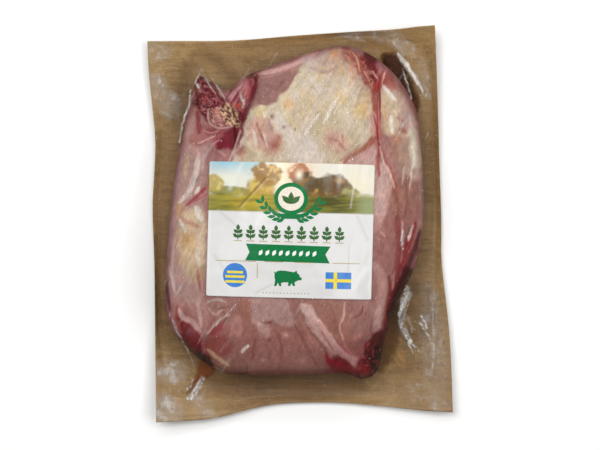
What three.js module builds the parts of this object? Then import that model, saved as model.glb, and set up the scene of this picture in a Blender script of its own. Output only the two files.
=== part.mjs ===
// A boneless ham joint sealed in a vacuum pack: a clear film drawn down over the meat, a brown
// paper-look base film, a printed label on top, and the meat juice caught in the film's pockets.
// Millimetres, +Z up. The pack lies on its base film, and the origin is the middle of its underside,
// with +Y towards the top of the label. Every skin is laid out on the same meridians, which run from
// the crown of the ham out to the rim of the pack.
import * as THREE from "three";

// Driving dimensions of the ham
const HAM_WIDTH = 171;
const HAM_LENGTH = 222;
const HAM_HEIGHT = 60; // crown above the base film
const WAIST_HEIGHT = 17; // the widest level of the ham
const UNDERSIDE_TUCK = 4; // how far the ham draws in below its waist
const FLANK = { tuck: 0.3, level: 0.4 }; // shares of that tuck and of the waist's height, part way down

// Films, label and the clearances between them
const BASE_THICKNESS = 0.4;
const FILM_THICKNESS = 0.2;
const LABEL_THICKNESS = 0.2;
const LABEL_WIDTH = 108;
const LABEL_LENGTH = 88;
const LABEL_TURN = THREE.MathUtils.degToRad(-1.4);
const LABEL_CENTRE = [-0.033, -0.103]; // in half widths and half lengths of the ham
const CLEARANCE = 0.35; // between pieces that lie on each other
const LABEL_CLEARANCE = 0.6; // above the film
const LABEL_SPAN = 2.5; // the label rests on the highest film within this distance, so it spans hollows
const FOOT_RUN = 8; // how far out from the waist the clear film comes down
const FOOT_SPAN = 3; // meridians each side over which the film's foot is evened out
const SEAL_SHARE = 0.5; // least share of the flange that stays sealed flat
const SIDE_HOLLOW = 1.7; // how hollow the film hangs between the waist and its foot

// Pack corners: how far each stands out from the corner of the ham's own box, and its curl
const CORNERS = [
  { side: [-1, 1], margin: [13, 4], curl: 5 },
  { side: [1, 1], margin: [8, 14.5], curl: 10 },
  { side: [1, -1], margin: [20, 22], curl: 7 },
  { side: [-1, -1], margin: [7, 28.5], curl: 9 },
];
// Sides in the order of the corners that they leave: meridians, and how far the edge stands inside
// the straight line between its corners, at shares of its length
const SIDES = [
  { steps: 30, bows: [[0.1, 0.9], [0.3, 2.6], [0.5, 1.6], [0.7, 1.1], [0.85, 1.2], [0.94, 0.3]] },
  { steps: 24, bows: [[0.2, 0.3], [0.36, 1.0], [0.5, 1.4], [0.6, 2.6], [0.68, 1.5], [0.77, 0], [0.86, -0.5]] },
  { steps: 22, bows: [[0.1, 1.9], [0.26, 6.2], [0.42, 9.2], [0.58, 9.4], [0.66, 7.4], [0.74, 3.8], [0.83, 0.8]] },
  { steps: 26, bows: [[0.22, 0.5], [0.42, 1.0], [0.56, 0.6], [0.64, 2.1], [0.74, 3.6], [0.84, 1.9], [0.92, 0.3]] },
];
const CURL_SAG = 0.65; // how much of the curl is lost between two corners

// The ham's outline at its waist, in half widths and half lengths, clockwise from the top
const OUTLINE = [
  [0.42, 1.0], [0.7, 0.89], [0.93, 0.65], [0.99, 0.33], [1.0, -0.03], [0.94, -0.31],
  [0.78, -0.56], [0.68, -0.83], [0.645, -0.945], [0.54, -1.0], [0.43, -0.965], [-0.02, -0.97],
  [-0.55, -0.95], [-0.81, -0.83], [-0.98, -0.65], [-1.0, -0.33], [-0.95, 0.12], [-0.88, 0.46],
  [-0.8, 0.72], [-0.73, 0.83], [-0.62, 0.77], [-0.53, 0.735], [-0.41, 0.81], [-0.09, 0.91],
  [0.22, 0.985],
];
const OUTLINE_SAMPLES = 400;
const DOME_POWER = 2.5; // flatness of the top
const DOME_ROUNDING = 0.6; // fullness of the shoulders

// Broad swells and sinkings of the top: place and radius in half widths and lengths, height in mm
const SWELLS = [
  { at: [0.3, 0.5], radius: 0.5, height: 3 },
  { at: [-0.05, -0.62], radius: 0.42, height: -3 },
  { at: [-0.78, 0.05], radius: 0.3, height: -9 },
  { at: [-0.7, 0.66], radius: 0.26, height: -18 },
  { at: [0.9, -0.15], radius: 0.25, height: -5 },
  { at: [0.6, -0.9], radius: 0.25, height: -10 },
];
// Partings between the muscles, as lines of the same units, with depth and half width in mm
const PARTINGS = [
  { line: [[-0.52, 0.76], [-0.46, 0.56], [-0.49, 0.42]], depth: 8, reach: 8 },
  { line: [[0.7, 0.88], [0.67, 0.62], [0.67, 0.35]], depth: 2.5, reach: 5 },
  { line: [[0.92, -0.06], [0.86, -0.3], [0.76, -0.53], [0.7, -0.78]], depth: 6, reach: 6 },
  { line: [[-0.97, -0.68], [-0.79, -0.61], [-0.73, -0.76], [-0.64, -0.92]], depth: 4, reach: 6 },
];

// Places where the clear film stands off the ham and holds juice: bearing from the ham's middle,
// spread along the edge, extra run of the film, and the level of the juice
const POCKETS = [
  { name: "juice_upper_right", bearing: 46, spread: 15, run: 5, level: 12 },
  { name: "juice_lower_right", bearing: -54, spread: 14, run: 5, level: 11 },
  { name: "juice_lower_left", bearing: -123, spread: 13, run: 3, level: 9 },
];

// Section of a juice pool under the hanging film: its corners, as shares of the film's run, and the
// share at which the film's height is read for each
const POOL_SECTION = [
  { out: 0, film: 0.12 },
  { out: 0.2, film: 0.25 },
  { out: 0.42, film: 0.46 },
];
const POOL_REACH = 0.6; // share of the run that the pool covers on the base film
const POOL_SIDE_GAP = 0.7; // from the ham
const POOL_TOP_GAP = 1.05; // under the clear film
const POOL_TAPER = 0.6; // how bluntly a pool runs out at its ends

// Rings of each skin: shares of the way from the crown to the waist, down the side, and to the rim
const TOP_RINGS = [0.16, 0.32, 0.46, 0.58, 0.68, 0.77, 0.845, 0.905, 0.95, 0.982, 1];
const SIDE_RINGS = [0.22, 0.55, 1];
const FLANGE_RINGS = [0.5, 1];
const LABEL_CELL = 6; // greatest side of a facet of the label
const LABEL_FEELERS = 12; // places around a point where the label feels for the film

const halfSize = new THREE.Vector2(HAM_WIDTH / 2, HAM_LENGTH / 2);
const place = ([x, y]) => new THREE.Vector2(x, y).multiply(halfSize);

// The rim of the pack as four smooth lines, about the ham's middle, with the curl of each point
function packRim() {
  const corners = CORNERS.map(({ side, margin, curl }) => ({
    at: new THREE.Vector2(
      side[0] * (halfSize.x + margin[0]),
      side[1] * (halfSize.y + margin[1]),
    ),
    curl,
  }));
  return SIDES.flatMap(({ steps, bows }, i) => {
    const from = corners[i];
    const to = corners[(i + 1) % corners.length];
    const along = to.at.clone().sub(from.at).normalize();
    const inward = new THREE.Vector2(along.y, -along.x);
    const bowed = bows.map(([share, bow]) => from.at.clone().lerp(to.at, share).addScaledVector(inward, bow));
    const edge = new THREE.SplineCurve([from.at, ...bowed, to.at]);
    return Array.from({ length: steps }, (_, k) => {
      const share = k / steps;
      const curl = THREE.MathUtils.lerp(from.curl, to.curl, share);
      return { at: edge.getPointAt(share), curl: curl * (1 - CURL_SAG * Math.sin(Math.PI * share)) };
    });
  });
}

const waistOutline = new THREE.CatmullRomCurve3(
  OUTLINE.map((p) => new THREE.Vector3(...place(p), 0)),
  true,
)
  .getPoints(OUTLINE_SAMPLES)
  .map((p) => new THREE.Vector2(p.x, p.y));

// Distance from the ham's middle to its waist in the direction of a point
function waistReach(point) {
  const length = point.length() || 1;
  const dx = point.x / length;
  const dy = point.y / length;
  let reach = 0;
  for (let i = 0; i < OUTLINE_SAMPLES; i++) {
    const a = waistOutline[i];
    const b = waistOutline[i + 1];
    const sideA = dx * a.y - dy * a.x;
    const sideB = dx * b.y - dy * b.x;
    if (sideA * sideB > 0 || sideA === sideB) continue;
    const share = sideA / (sideA - sideB);
    const along = dx * (a.x + (b.x - a.x) * share) + dy * (a.y + (b.y - a.y) * share);
    reach = Math.max(reach, along);
  }
  return reach;
}

function distanceToLine(point, line) {
  const nearest = new THREE.Vector3();
  const flat = new THREE.Vector3(point.x, point.y, 0);
  return Math.min(
    ...line.slice(1).map((end, i) => {
      const a = new THREE.Vector3(...place(line[i]), 0);
      const b = new THREE.Vector3(...place(end), 0);
      return new THREE.Line3(a, b).closestPointToPoint(flat, true, nearest).distanceTo(flat);
    }),
  );
}

// How much the swells and partings raise or lower the top of the ham
function relief(point) {
  const swell = SWELLS.reduce((sum, { at, radius, height }) => {
    const away = point.clone().sub(place(at)).divide(halfSize).length() / radius;
    return sum + height * Math.exp(-away * away);
  }, 0);
  return PARTINGS.reduce((sum, { line, depth, reach }) => {
    const away = distanceToLine(point, line) / reach;
    return sum - depth * Math.exp(-away * away);
  }, swell);
}

const seatHeight = BASE_THICKNESS + CLEARANCE; // where the ham rests

// Height of the ham's top, or of a skin that lies a distance `grow` outside it
function topHeight(point, share, grow) {
  const dome = (1 - share ** DOME_POWER) ** DOME_ROUNDING;
  const waist = seatHeight + WAIST_HEIGHT;
  return waist + dome * (HAM_HEIGHT - WAIST_HEIGHT + relief(point) + grow);
}

// Turn from one bearing to another, in degrees either way
const turnBetween = (a, b) => THREE.MathUtils.euclideanModulo(a - b + 180, 360) - 180;

const rimPoints = packRim();
const waists = rimPoints.map(({ at }) => waistReach(at));

// Mean reach of the waist around one meridian: the film spans the notches of the outline
function evenedWaist(k) {
  const count = waists.length;
  let sum = 0;
  for (let step = -FOOT_SPAN; step <= FOOT_SPAN; step++) sum += waists[(k + step + count) % count];
  return sum / (2 * FOOT_SPAN + 1);
}

// One meridian for each point of the rim: its direction, the waist, the film's foot and the rim
const meridians = rimPoints.map(({ at, curl }, k) => {
  const rim = at.length();
  const waist = waists[k];
  const bearing = THREE.MathUtils.radToDeg(Math.atan2(at.y, at.x));
  const pocketRun = POCKETS.reduce((sum, pocket) => {
    const away = turnBetween(bearing, pocket.bearing) / pocket.spread;
    return sum + pocket.run * Math.exp(-away * away);
  }, 0);
  const wanted = Math.max(waist, evenedWaist(k)) + FOOT_RUN + pocketRun;
  const foot = Math.min(wanted, waist + (rim - waist) * SEAL_SHARE);
  return { direction: at.clone().normalize(), waist, foot, rim, curl, bearing };
});

const onMeridian = ({ direction }, distance, height) =>
  new THREE.Vector3(direction.x * distance, direction.y * distance, height);

// Lift of the flange: flat as far as the foot, then a smooth curl up to the rim
function flangeLift(meridian, distance) {
  const share = Math.max(0, (distance - meridian.foot) / (meridian.rim - meridian.foot));
  return meridian.curl * share * share;
}

// Rings of a skin over the top of the ham, from the crown to the waist
const overHam = (grow) =>
  TOP_RINGS.map((share) =>
    meridians.map((m) => {
      const plan = m.direction.clone().multiplyScalar(share * m.waist);
      return onMeridian(m, share * (m.waist + grow), topHeight(plan, share, grow));
    }),
  );

// Height of the clear film at a share of its way from the waist to its foot
function sideHeight(share, lowest) {
  const drop = seatHeight + WAIST_HEIGHT - lowest;
  return lowest + drop * (1 - share) ** SIDE_HOLLOW;
}

// Rings of the clear film from the waist down to its foot, and out along the flange
function besideHam(grow) {
  const lowest = seatHeight + grow - CLEARANCE;
  const side = SIDE_RINGS.map((share) =>
    meridians.map((m) => {
      const run = (m.foot - m.waist - grow) * share;
      return onMeridian(m, m.waist + grow + run, sideHeight(share, lowest));
    }),
  );
  const flange = FLANGE_RINGS.map((share) =>
    meridians.map((m) => {
      const distance = THREE.MathUtils.lerp(m.foot, m.rim, share);
      return onMeridian(m, distance, lowest + flangeLift(m, distance));
    }),
  );
  return [...side, ...flange];
}

const pole = (height) => meridians.map(() => new THREE.Vector3(0, 0, height));
const crown = (grow) => pole(topHeight(new THREE.Vector2(), 0, grow));

// A closed skin through rings of points, from one pole to the other. From the ring `turn` on it comes
// back under itself, and its faces are split the other way, so that both layers bend alike.
function skin(name, rings, turn, finish) {
  const around = rings[0].length;
  const geometry = new THREE.BufferGeometry().setFromPoints(rings.flat());
  const corner = (ring, k) => ring * around + (k % around);
  const faces = [];
  for (let ring = 0; ring < rings.length - 1; ring++) {
    for (let k = 0; k < around; k++) {
      const a = corner(ring, k);
      const b = corner(ring, k + 1);
      const c = corner(ring + 1, k + 1);
      const d = corner(ring + 1, k);
      faces.push(...(ring < turn ? [a, b, c, a, c, d] : [a, b, d, b, c, d]));
    }
  }
  geometry.setIndex(faces);
  const mesh = new THREE.Mesh(geometry, new THREE.MeshStandardMaterial(finish));
  mesh.name = name;
  return mesh;
}

function hamJoint() {
  const seat = (inset) =>
    meridians.map((m) => onMeridian(m, m.waist - inset, seatHeight));
  const flank = meridians.map((m) =>
    onMeridian(m, m.waist - UNDERSIDE_TUCK * FLANK.tuck, seatHeight + WAIST_HEIGHT * FLANK.level),
  );
  const rings = [
    crown(0),
    ...overHam(0),
    flank,
    seat(UNDERSIDE_TUCK),
    pole(seatHeight),
  ];
  return skin("ham_joint", rings, rings.length, { color: 0xb07c74, roughness: 0.4 });
}

function clearFilm() {
  const layer = (grow) => [crown(grow), ...overHam(grow), ...besideHam(grow)];
  const outer = layer(CLEARANCE + FILM_THICKNESS);
  const inner = layer(CLEARANCE).reverse();
  return skin("clear_top_film", [...outer, ...inner], outer.length, {
    color: 0xf4efe9,
    roughness: 0.15,
    transparent: true,
    opacity: 0.25,
  });
}

function baseFilm() {
  const sheet = (height) => [
    pole(height),
    meridians.map((m) => onMeridian(m, m.foot, height)),
    ...FLANGE_RINGS.map((share) =>
      meridians.map((m) => {
        const distance = THREE.MathUtils.lerp(m.foot, m.rim, share);
        return onMeridian(m, distance, height + flangeLift(m, distance));
      }),
    ),
  ];
  const upper = sheet(BASE_THICKNESS);
  const rings = [...upper, ...sheet(0).reverse()];
  return skin("brown_base_film", rings, upper.length, { color: 0x8a6e4b, roughness: 0.5 });
}

// Highest place of the clear film around a point
function highestFilm(point) {
  const grow = CLEARANCE + FILM_THICKNESS;
  const around = Array.from({ length: LABEL_FEELERS }, (_, k) => {
    const turn = (2 * Math.PI * k) / LABEL_FEELERS;
    return new THREE.Vector2(Math.cos(turn), Math.sin(turn)).multiplyScalar(LABEL_SPAN).add(point);
  });
  return Math.max(
    ...[point, ...around].map((spot) => {
      const share = Math.min(1, spot.length() / (waistReach(spot) + grow));
      return topHeight(spot, share, grow);
    }),
  );
}

// The label is a thin plate laid over the clear film
function frontLabel() {
  const steps = [LABEL_WIDTH, LABEL_LENGTH].map((side) => Math.ceil(side / LABEL_CELL));
  const geometry = new THREE.BoxGeometry(LABEL_WIDTH, LABEL_LENGTH, LABEL_THICKNESS, ...steps, 1);
  geometry.rotateZ(LABEL_TURN);
  const centre = place(LABEL_CENTRE);
  const position = geometry.getAttribute("position");
  for (let i = 0; i < position.count; i++) {
    const point = new THREE.Vector2(position.getX(i), position.getY(i)).add(centre);
    const height = highestFilm(point) + LABEL_CLEARANCE + LABEL_THICKNESS / 2;
    position.setXYZ(i, point.x, point.y, height + position.getZ(i));
  }
  const mesh = new THREE.Mesh(
    geometry,
    new THREE.MeshStandardMaterial({ color: 0xe8e6e0, roughness: 0.4 }),
  );
  mesh.name = "front_label";
  return mesh;
}

// Juice lies in the corner between the ham's side, the base film and the clear film, and thins
// out to a point at both ends of its pocket
function juicePool({ name, bearing, spread, level }) {
  const held = meridians
    .filter((m) => Math.abs(turnBetween(m.bearing, bearing)) <= spread)
    .sort((a, b) => turnBetween(a.bearing, bearing) - turnBetween(b.bearing, bearing));
  const sections = held.map((m, k) => {
    const along = Math.max(0, Math.sin((Math.PI * k) / (held.length - 1)));
    const size = along ** POOL_TAPER;
    const run = m.foot - m.waist;
    const underFilm = POOL_SECTION.map(({ out, film }) => [
      Math.max(POOL_SIDE_GAP, run * out),
      Math.min(seatHeight + level, sideHeight(film, seatHeight) - POOL_TOP_GAP),
    ]);
    const corner = [POOL_SIDE_GAP, seatHeight];
    const reach = run * POOL_REACH;
    const section = [...underFilm, [reach, seatHeight + CLEARANCE], [reach, seatHeight], corner];
    return section.map(([out, height]) =>
      onMeridian(
        m,
        m.waist + THREE.MathUtils.lerp(corner[0], out, size),
        THREE.MathUtils.lerp(corner[1], height, size),
      ),
    );
  });
  return skin(name, sections, sections.length, { color: 0x4a1210, roughness: 0.15 });
}

const pack = new THREE.Group();
pack.add(hamJoint(), clearFilm(), baseFilm(), frontLabel(), ...POCKETS.map(juicePool));

// The origin is the middle of the pack's own box
const box = new THREE.Box3().setFromObject(pack);
const middle = box.getCenter(new THREE.Vector3());
pack.children.forEach((mesh) => mesh.geometry.translate(-middle.x, -middle.y, 0));

export default pack;
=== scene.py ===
"""A boneless ham joint in a vacuum pack: the meat, its clear film, the brown base film, the printed
label and the juice caught in the film's pockets.

Every skin is laid out on the same rays, which run from the middle of the ham to the rim of the pack.
Places on the pack are spots: hundredths of the ham's half width and half length, from its middle.
Widths and heights of painted and folded details are in millimetres.
"""

import math

import bmesh
import bpy
import numpy as np
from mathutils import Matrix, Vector
from mathutils.bvhtree import BVHTree


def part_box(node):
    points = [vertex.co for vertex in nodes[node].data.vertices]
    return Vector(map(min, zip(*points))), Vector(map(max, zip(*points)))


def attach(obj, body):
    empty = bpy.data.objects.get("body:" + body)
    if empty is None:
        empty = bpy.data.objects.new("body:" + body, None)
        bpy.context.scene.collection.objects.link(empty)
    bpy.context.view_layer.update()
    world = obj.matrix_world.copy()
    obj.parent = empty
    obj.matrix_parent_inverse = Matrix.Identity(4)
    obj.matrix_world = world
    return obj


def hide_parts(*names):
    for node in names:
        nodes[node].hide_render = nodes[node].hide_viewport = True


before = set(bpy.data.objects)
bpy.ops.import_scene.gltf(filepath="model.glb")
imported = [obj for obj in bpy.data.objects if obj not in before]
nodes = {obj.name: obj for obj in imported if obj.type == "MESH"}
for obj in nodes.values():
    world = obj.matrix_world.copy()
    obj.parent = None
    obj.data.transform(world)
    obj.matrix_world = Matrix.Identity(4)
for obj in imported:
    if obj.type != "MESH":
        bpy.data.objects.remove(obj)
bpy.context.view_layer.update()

MM = 0.001
DOWN = Vector((0, 0, -1))
SAME_CORNER = 0.01 * MM  # corners nearer than this are one
SHARP_EDGE = math.radians(60)
ham_low, ham_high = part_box("ham_joint")
MIDDLE = np.array([(ham_low.x + ham_high.x) / 2, (ham_low.y + ham_high.y) / 2])
HALF = np.array([(ham_high.x - ham_low.x) / 2, (ham_high.y - ham_low.y) / 2])


# ---------------------------------------------------------------- places and noise


def spots(points):
    """Places in metres of spots given in hundredths of the ham's half width and half length."""
    return MIDDLE + np.array(points, float).reshape(-1, 2) / 100 * HALF


def smooth_step(low, high, value):
    share = np.clip((value - low) / (high - low), 0, 1)
    return share * share * (3 - 2 * share)


def scatter(column, row, seed):
    """A repeatable number from 0 to 1 for each whole column and row."""
    h = (column * 374761393 + row * 668265263 + seed * 1442695041) & 0xFFFFFFFF
    h = ((h ^ (h >> 13)) * 1274126177) & 0xFFFFFFFF
    return ((h ^ (h >> 16)) & 0xFFFF) / 0xFFFF


def soft_noise(x, y, seed):
    column, row = np.floor(x).astype(np.int64), np.floor(y).astype(np.int64)
    fx, fy = smooth_step(0, 1, x - column), smooth_step(0, 1, y - row)
    low = scatter(column, row, seed) * (1 - fx) + scatter(column + 1, row, seed) * fx
    high = scatter(column, row + 1, seed) * (1 - fx) + scatter(column + 1, row + 1, seed) * fx
    return low * (1 - fy) + high * fy


def mottle(x, y, scale, seed, octaves=3):
    """Cloudy noise from -1 to 1, with patches of about `scale` metres."""
    total, weight, size = 0, 0, 1.0
    for octave in range(octaves):
        total = total + size * (2 * soft_noise(x / scale, y / scale, seed + 17 * octave) - 1)
        weight, size, scale = weight + size, size / 2, scale / 2
    return total / weight


def grain(x, y, bearing, length, width, seed, octaves=2):
    """Noise drawn out along a bearing, in degrees, as fibres and streaks are."""
    c, s = math.cos(math.radians(bearing)), math.sin(math.radians(bearing))
    return mottle((x * c + y * s) * width / length, y * c - x * s, width, seed, octaves)


# ---------------------------------------------------------------- painting a surface from above


def colour(code):
    """Linear colour of a display colour such as A97D77."""
    channels = np.array([int(code[i : i + 2], 16) / 255 for i in (0, 2, 4)])
    return np.where(channels <= 0.04045, channels / 12.92, ((channels + 0.055) / 1.055) ** 2.4)


def rounded(points, closed, steps=6):
    """A smooth line through points (Catmull-Rom)."""
    p = np.array(points, float)
    count = len(p)
    if count < 3:
        return p
    made = []
    for i in range(count if closed else count - 1):
        if closed:
            a, b, c, d = (p[(i + k) % count] for k in (-1, 0, 1, 2))
        else:
            a, b, c, d = (p[min(max(i + k, 0), count - 1)] for k in (-1, 0, 1, 2))
        for t in np.arange(steps) / steps:
            made.append(
                0.5 * (2 * b + (c - a) * t + (2 * a - 5 * b + 4 * c - d) * t * t
                       + (3 * b - a - 3 * c + d) * t**3)
            )
    if not closed:
        made.append(p[-1])
    return np.array(made)


def distance_to_line(x, y, line, closed=False):
    """Distance of each point from a line, and how far along the line its nearest place is (0 to 1)."""
    ends = np.roll(line, -1, 0) if closed else line[1:]
    starts = line if closed else line[:-1]
    lengths = np.hypot(*(ends - starts).T)
    before = np.concatenate([[0], np.cumsum(lengths)])
    best = np.full(len(x), np.inf)
    along = np.zeros(len(x))
    for (ax, ay), (bx, by), length, so_far in zip(starts, ends, lengths, before):
        if length == 0:
            continue
        dx, dy = (bx - ax) / length, (by - ay) / length
        t = np.clip((x - ax) * dx + (y - ay) * dy, 0, length)
        away = (x - ax - t * dx) ** 2 + (y - ay - t * dy) ** 2
        nearer = away < best
        best = np.where(nearer, away, best)
        along = np.where(nearer, (so_far + t) / before[-1], along)
    return np.sqrt(best), along


def inside(x, y, outline):
    """True for points inside a closed outline."""
    hit = np.zeros(len(x), bool)
    for (ax, ay), (bx, by) in zip(outline, np.roll(outline, -1, 0)):
        if ay != by:
            crosses = (ay > y) != (by > y)
            hit ^= crosses & (x < (bx - ax) * (y - ay) / (by - ay) + ax)
    return hit


class Canvas:
    """Values at the points of a surface, as seen from above: colours, or a single height or mask.

    `soft` is half the width of a faded edge, and `ragged` is how far edges wander.
    """

    def __init__(self, x, y, start, ragged_scale=5 * MM):
        self.x, self.y = x, y
        self.value = np.tile(np.atleast_1d(np.array(start, float)), (len(x), 1))
        self.wander = [mottle(x, y, ragged_scale, seed, 4) for seed in (3, 4)]

    def lay(self, near, mask, value):
        """Moves some points' values towards a value or a colour code, by a mask from 0 to 1."""
        goal = colour(value) if isinstance(value, str) else np.atleast_1d(value)
        self.value[near] += mask[:, None] * (goal - self.value[near])

    def reach(self, line, margin):
        """The points within a margin of a line's bounds."""
        low, high = line.min(0) - margin, line.max(0) + margin
        x, y = self.x, self.y
        return np.flatnonzero((x > low[0]) & (x < high[0]) & (y > low[1]) & (y < high[1]))

    def wandering(self, near, ragged):
        return (self.x[near] + self.wander[0][near] * ragged,
                self.y[near] + self.wander[1][near] * ragged)

    def area(self, points, soft, ragged=0):
        """The points near a closed outline and how far inside it they are, from 0 to 1."""
        outline = rounded(spots(points), True)
        near = self.reach(outline, (soft + ragged) * MM)
        x, y = self.wandering(near, ragged * MM)
        away, _ = distance_to_line(x, y, outline, True)
        signed = np.where(inside(x, y, outline), away, -away)
        return near, smooth_step(-soft * MM, soft * MM, signed)

    def wash(self, points, value, soft=2, strength=1, ragged=2, broken=None):
        """Fills an outline, where `broken` is a mask over the whole surface."""
        near, mask = self.area(points, soft, ragged)
        if broken is not None:
            mask = mask * broken[near]
        self.lay(near, mask * strength, value)

    def stroke(self, points, value, width, strength=1, ragged=0.6, taper=0.25, broken=None):
        """Draws a line that thins towards its ends over a share of its length."""
        line = rounded(spots(points), False)
        near = self.reach(line, width * 1.5 * MM)
        x, y = self.wandering(near, ragged * MM)
        away, along = distance_to_line(x, y, line)
        ends = np.clip(np.minimum(along, 1 - along) / taper, 0, 1) ** 0.5
        half = width / 2 * MM * (0.35 + 0.65 * ends)
        mask = 1 - smooth_step(0.35 * half, 1.25 * half, away)
        if broken is not None:
            mask = mask * broken[near]
        self.lay(near, mask * strength, value)

    def dot(self, spot, value, radius, strength=1, ragged=1.5):
        centre = spots(spot)
        near = self.reach(centre, radius * 2 * MM)
        x, y = self.wandering(near, ragged * MM)
        away = np.hypot(x - centre[0, 0], y - centre[0, 1]) / (radius * MM)
        self.lay(near, np.exp(-away * away) * strength, value)

    def deepen(self, points, factors, soft=6, ragged=2):
        """Multiplies the colours in an area, to darken or warm them."""
        near, mask = self.area(points, soft, ragged)
        self.value[near] *= 1 - mask[:, None] * (1 - np.array(factors))

    def add(self, height):
        self.value[:, 0] += height

    def raise_to(self, mask):
        self.value[:, 0] = np.maximum(self.value[:, 0], mask)

    def ridge(self, points, height, width, taper, crest):
        """Raises a crest along a line, or sinks a groove for a negative height."""
        line = rounded(spots(points), False)
        near = self.reach(line, width * MM)
        away, along = distance_to_line(self.x[near], self.y[near], line)
        ends = np.clip(np.minimum(along, 1 - along) / taper, 0, 1)
        share = np.clip(1 - away / (width * MM), 0, 1)
        self.value[near, 0] += height * MM * share**crest * ends


# ---------------------------------------------------------------- rays, skins and sheets


def merged(node):
    """A copy of a CAD node's mesh with its doubled corners merged."""
    made = bmesh.new()
    made.from_mesh(nodes[node].data)
    bmesh.ops.remove_doubles(made, verts=made.verts, dist=SAME_CORNER)
    return made


def surface_of(piece):
    """The faces of a finished piece, for rays to meet."""
    copy = bmesh.new()
    copy.from_mesh(piece.data)
    surface = BVHTree.FromBMesh(copy)
    copy.free()
    return surface


def rim_of(node):
    """Corners of a sheet's edge, in order round the pack, with the height of its upper side."""
    mesh = merged(node)
    sharp = {v for e in mesh.edges if e.calc_face_angle(0) > SHARP_EDGE for v in e.verts}
    upper = {}
    for v in sharp:
        key = (round(v.co.x, 5), round(v.co.y, 5))
        upper[key] = max(upper.get(key, -1), v.co.z)
    points = np.array([[x, y, z] for (x, y), z in upper.items()])
    bearing = np.arctan2(points[:, 1] - MIDDLE[1], points[:, 0] - MIDDLE[0])
    return points[np.argsort(bearing)]


def heights(surface, x, y, default=0.0):
    """Height of the topmost surface over each point."""
    flat_x, flat_y = np.ravel(x), np.ravel(y)
    found = np.full(len(flat_x), default)
    for i, (px, py) in enumerate(zip(flat_x, flat_y)):
        hit = surface.ray_cast(Vector((px, py, 1.0)), DOWN)[0]
        if hit is not None:
            found[i] = hit.z
    return found.reshape(np.shape(x))


def evened(grid, times, rings=True):
    """A grid of rings by rays with its values evened out between neighbours."""
    for _ in range(times):
        grid = (np.roll(grid, 1, 1) + 2 * grid + np.roll(grid, -1, 1)) / 4
        if rings:
            inner = (grid[:-2] + 2 * grid[1:-1] + grid[2:]) / 4
            grid = np.concatenate([grid[:1], inner, grid[-1:]])
    return grid


cad_ham = BVHTree.FromBMesh(merged("ham_joint"))
cad_film = BVHTree.FromBMesh(merged("clear_top_film"))
cad_base = BVHTree.FromBMesh(merged("brown_base_film"))
cad_rim = rim_of("brown_base_film")
WAIST_LEVELS = ham_low.z + (ham_high.z - ham_low.z) * np.linspace(0.18, 0.4, 9)


class Rays:
    """Rays from the middle of the ham to the rim, with the ham's waist on the way."""

    def __init__(self, per_edge):
        shares = np.arange(per_edge) / per_edge
        onward = np.roll(cad_rim, -1, 0) - cad_rim
        self.rim = (cad_rim[:, None] + onward[:, None] * shares[None, :, None]).reshape(-1, 3)
        away = self.rim[:, :2] - MIDDLE
        self.reach = np.hypot(away[:, 0], away[:, 1])
        self.direction = away / self.reach[:, None]
        found = np.array([self.reach_at(level) for level in WAIST_LEVELS])
        self.waist = found.max(0)
        self.waist_z = WAIST_LEVELS[int(np.argmax(found.mean(1)))]

    def reach_at(self, height):
        """How far out the ham goes along each ray at a height."""
        start = Vector((*MIDDLE, height))
        ways = (Vector((dx, dy, 0)) for dx, dy in self.direction)
        return np.array([cad_ham.ray_cast(start, way)[3] or 0 for way in ways])

    def places(self, reach):
        """Plan places of rings by rays, at a distance from the middle for each."""
        return MIDDLE[0] + reach * self.direction[:, 0], MIDDLE[1] + reach * self.direction[:, 1]


ham_rays, sheet_rays = Rays(8), Rays(6)


def ring_shares(*parts):
    """Shares of a way, in stretches of even spacing: (up to, how many)."""
    made, start = [], 0.0
    for end, count in parts:
        made.extend(np.linspace(start, end, count + 1)[1:])
        start = end
    return np.array(made)


def put(name, data):
    """An object for a mesh, lamp or camera, in the scene."""
    made = bpy.data.objects.new(name, data)
    bpy.context.scene.collection.objects.link(made)
    return made


def new_piece(name, points, faces):
    """A smoothly shaded piece from its points and faces."""
    mesh = bpy.data.meshes.new(name)
    mesh.from_pydata(points, [], faces)
    mesh.shade_smooth()
    mesh.update()
    return put(name, mesh)


def skin(name, x, y, z, poles):
    """A closed mesh through rings of points, from the pole before the first to the one after the last."""
    rings, rays = x.shape
    points = np.concatenate([np.stack([x, y, z], -1).reshape(-1, 3), np.array(poles)])
    ring, ray = np.meshgrid(np.arange(rings - 1), np.arange(rays), indexing="ij")
    after = (ray + 1) % rays
    quads = np.stack([ring * rays + ray, (ring + 1) * rays + ray,
                      (ring + 1) * rays + after, ring * rays + after], -1).reshape(-1, 4)
    ray, after = ray[0], after[0]
    first_pole, last_pole = rings * rays, rings * rays + 1
    last = (rings - 1) * rays
    caps = np.concatenate([
        np.stack([np.full(rays, first_pole), ray, after], -1),
        np.stack([last + after, last + ray, np.full(rays, last_pole)], -1),
    ])
    return new_piece(name, points.tolist(), quads.tolist() + caps.tolist())


def sheet(name, x, y, upper, lower, cell):
    """A thick sheet over the chosen cells of a grid, with walls where its cells end."""
    points = np.concatenate([np.stack([x, y, z], -1).reshape(-1, 3) for z in (upper, lower)])
    count = x.size
    index = np.arange(count).reshape(x.shape)
    beyond = np.pad(cell, 1)
    faces = []
    for i, j in np.argwhere(cell):
        a, b, c, d = (int(index[i + di, j + dj]) for di, dj in ((0, 0), (1, 0), (1, 1), (0, 1)))
        faces += [(a, b, c, d), (d + count, c + count, b + count, a + count)]
        for di, dj, p, q in ((0, -1, a, b), (1, 0, b, c), (0, 1, c, d), (-1, 0, d, a)):
            if not beyond[i + 1 + di, j + 1 + dj]:
                faces.append((p, p + count, q + count, q))
    return new_piece(name, points.tolist(), faces)


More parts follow.
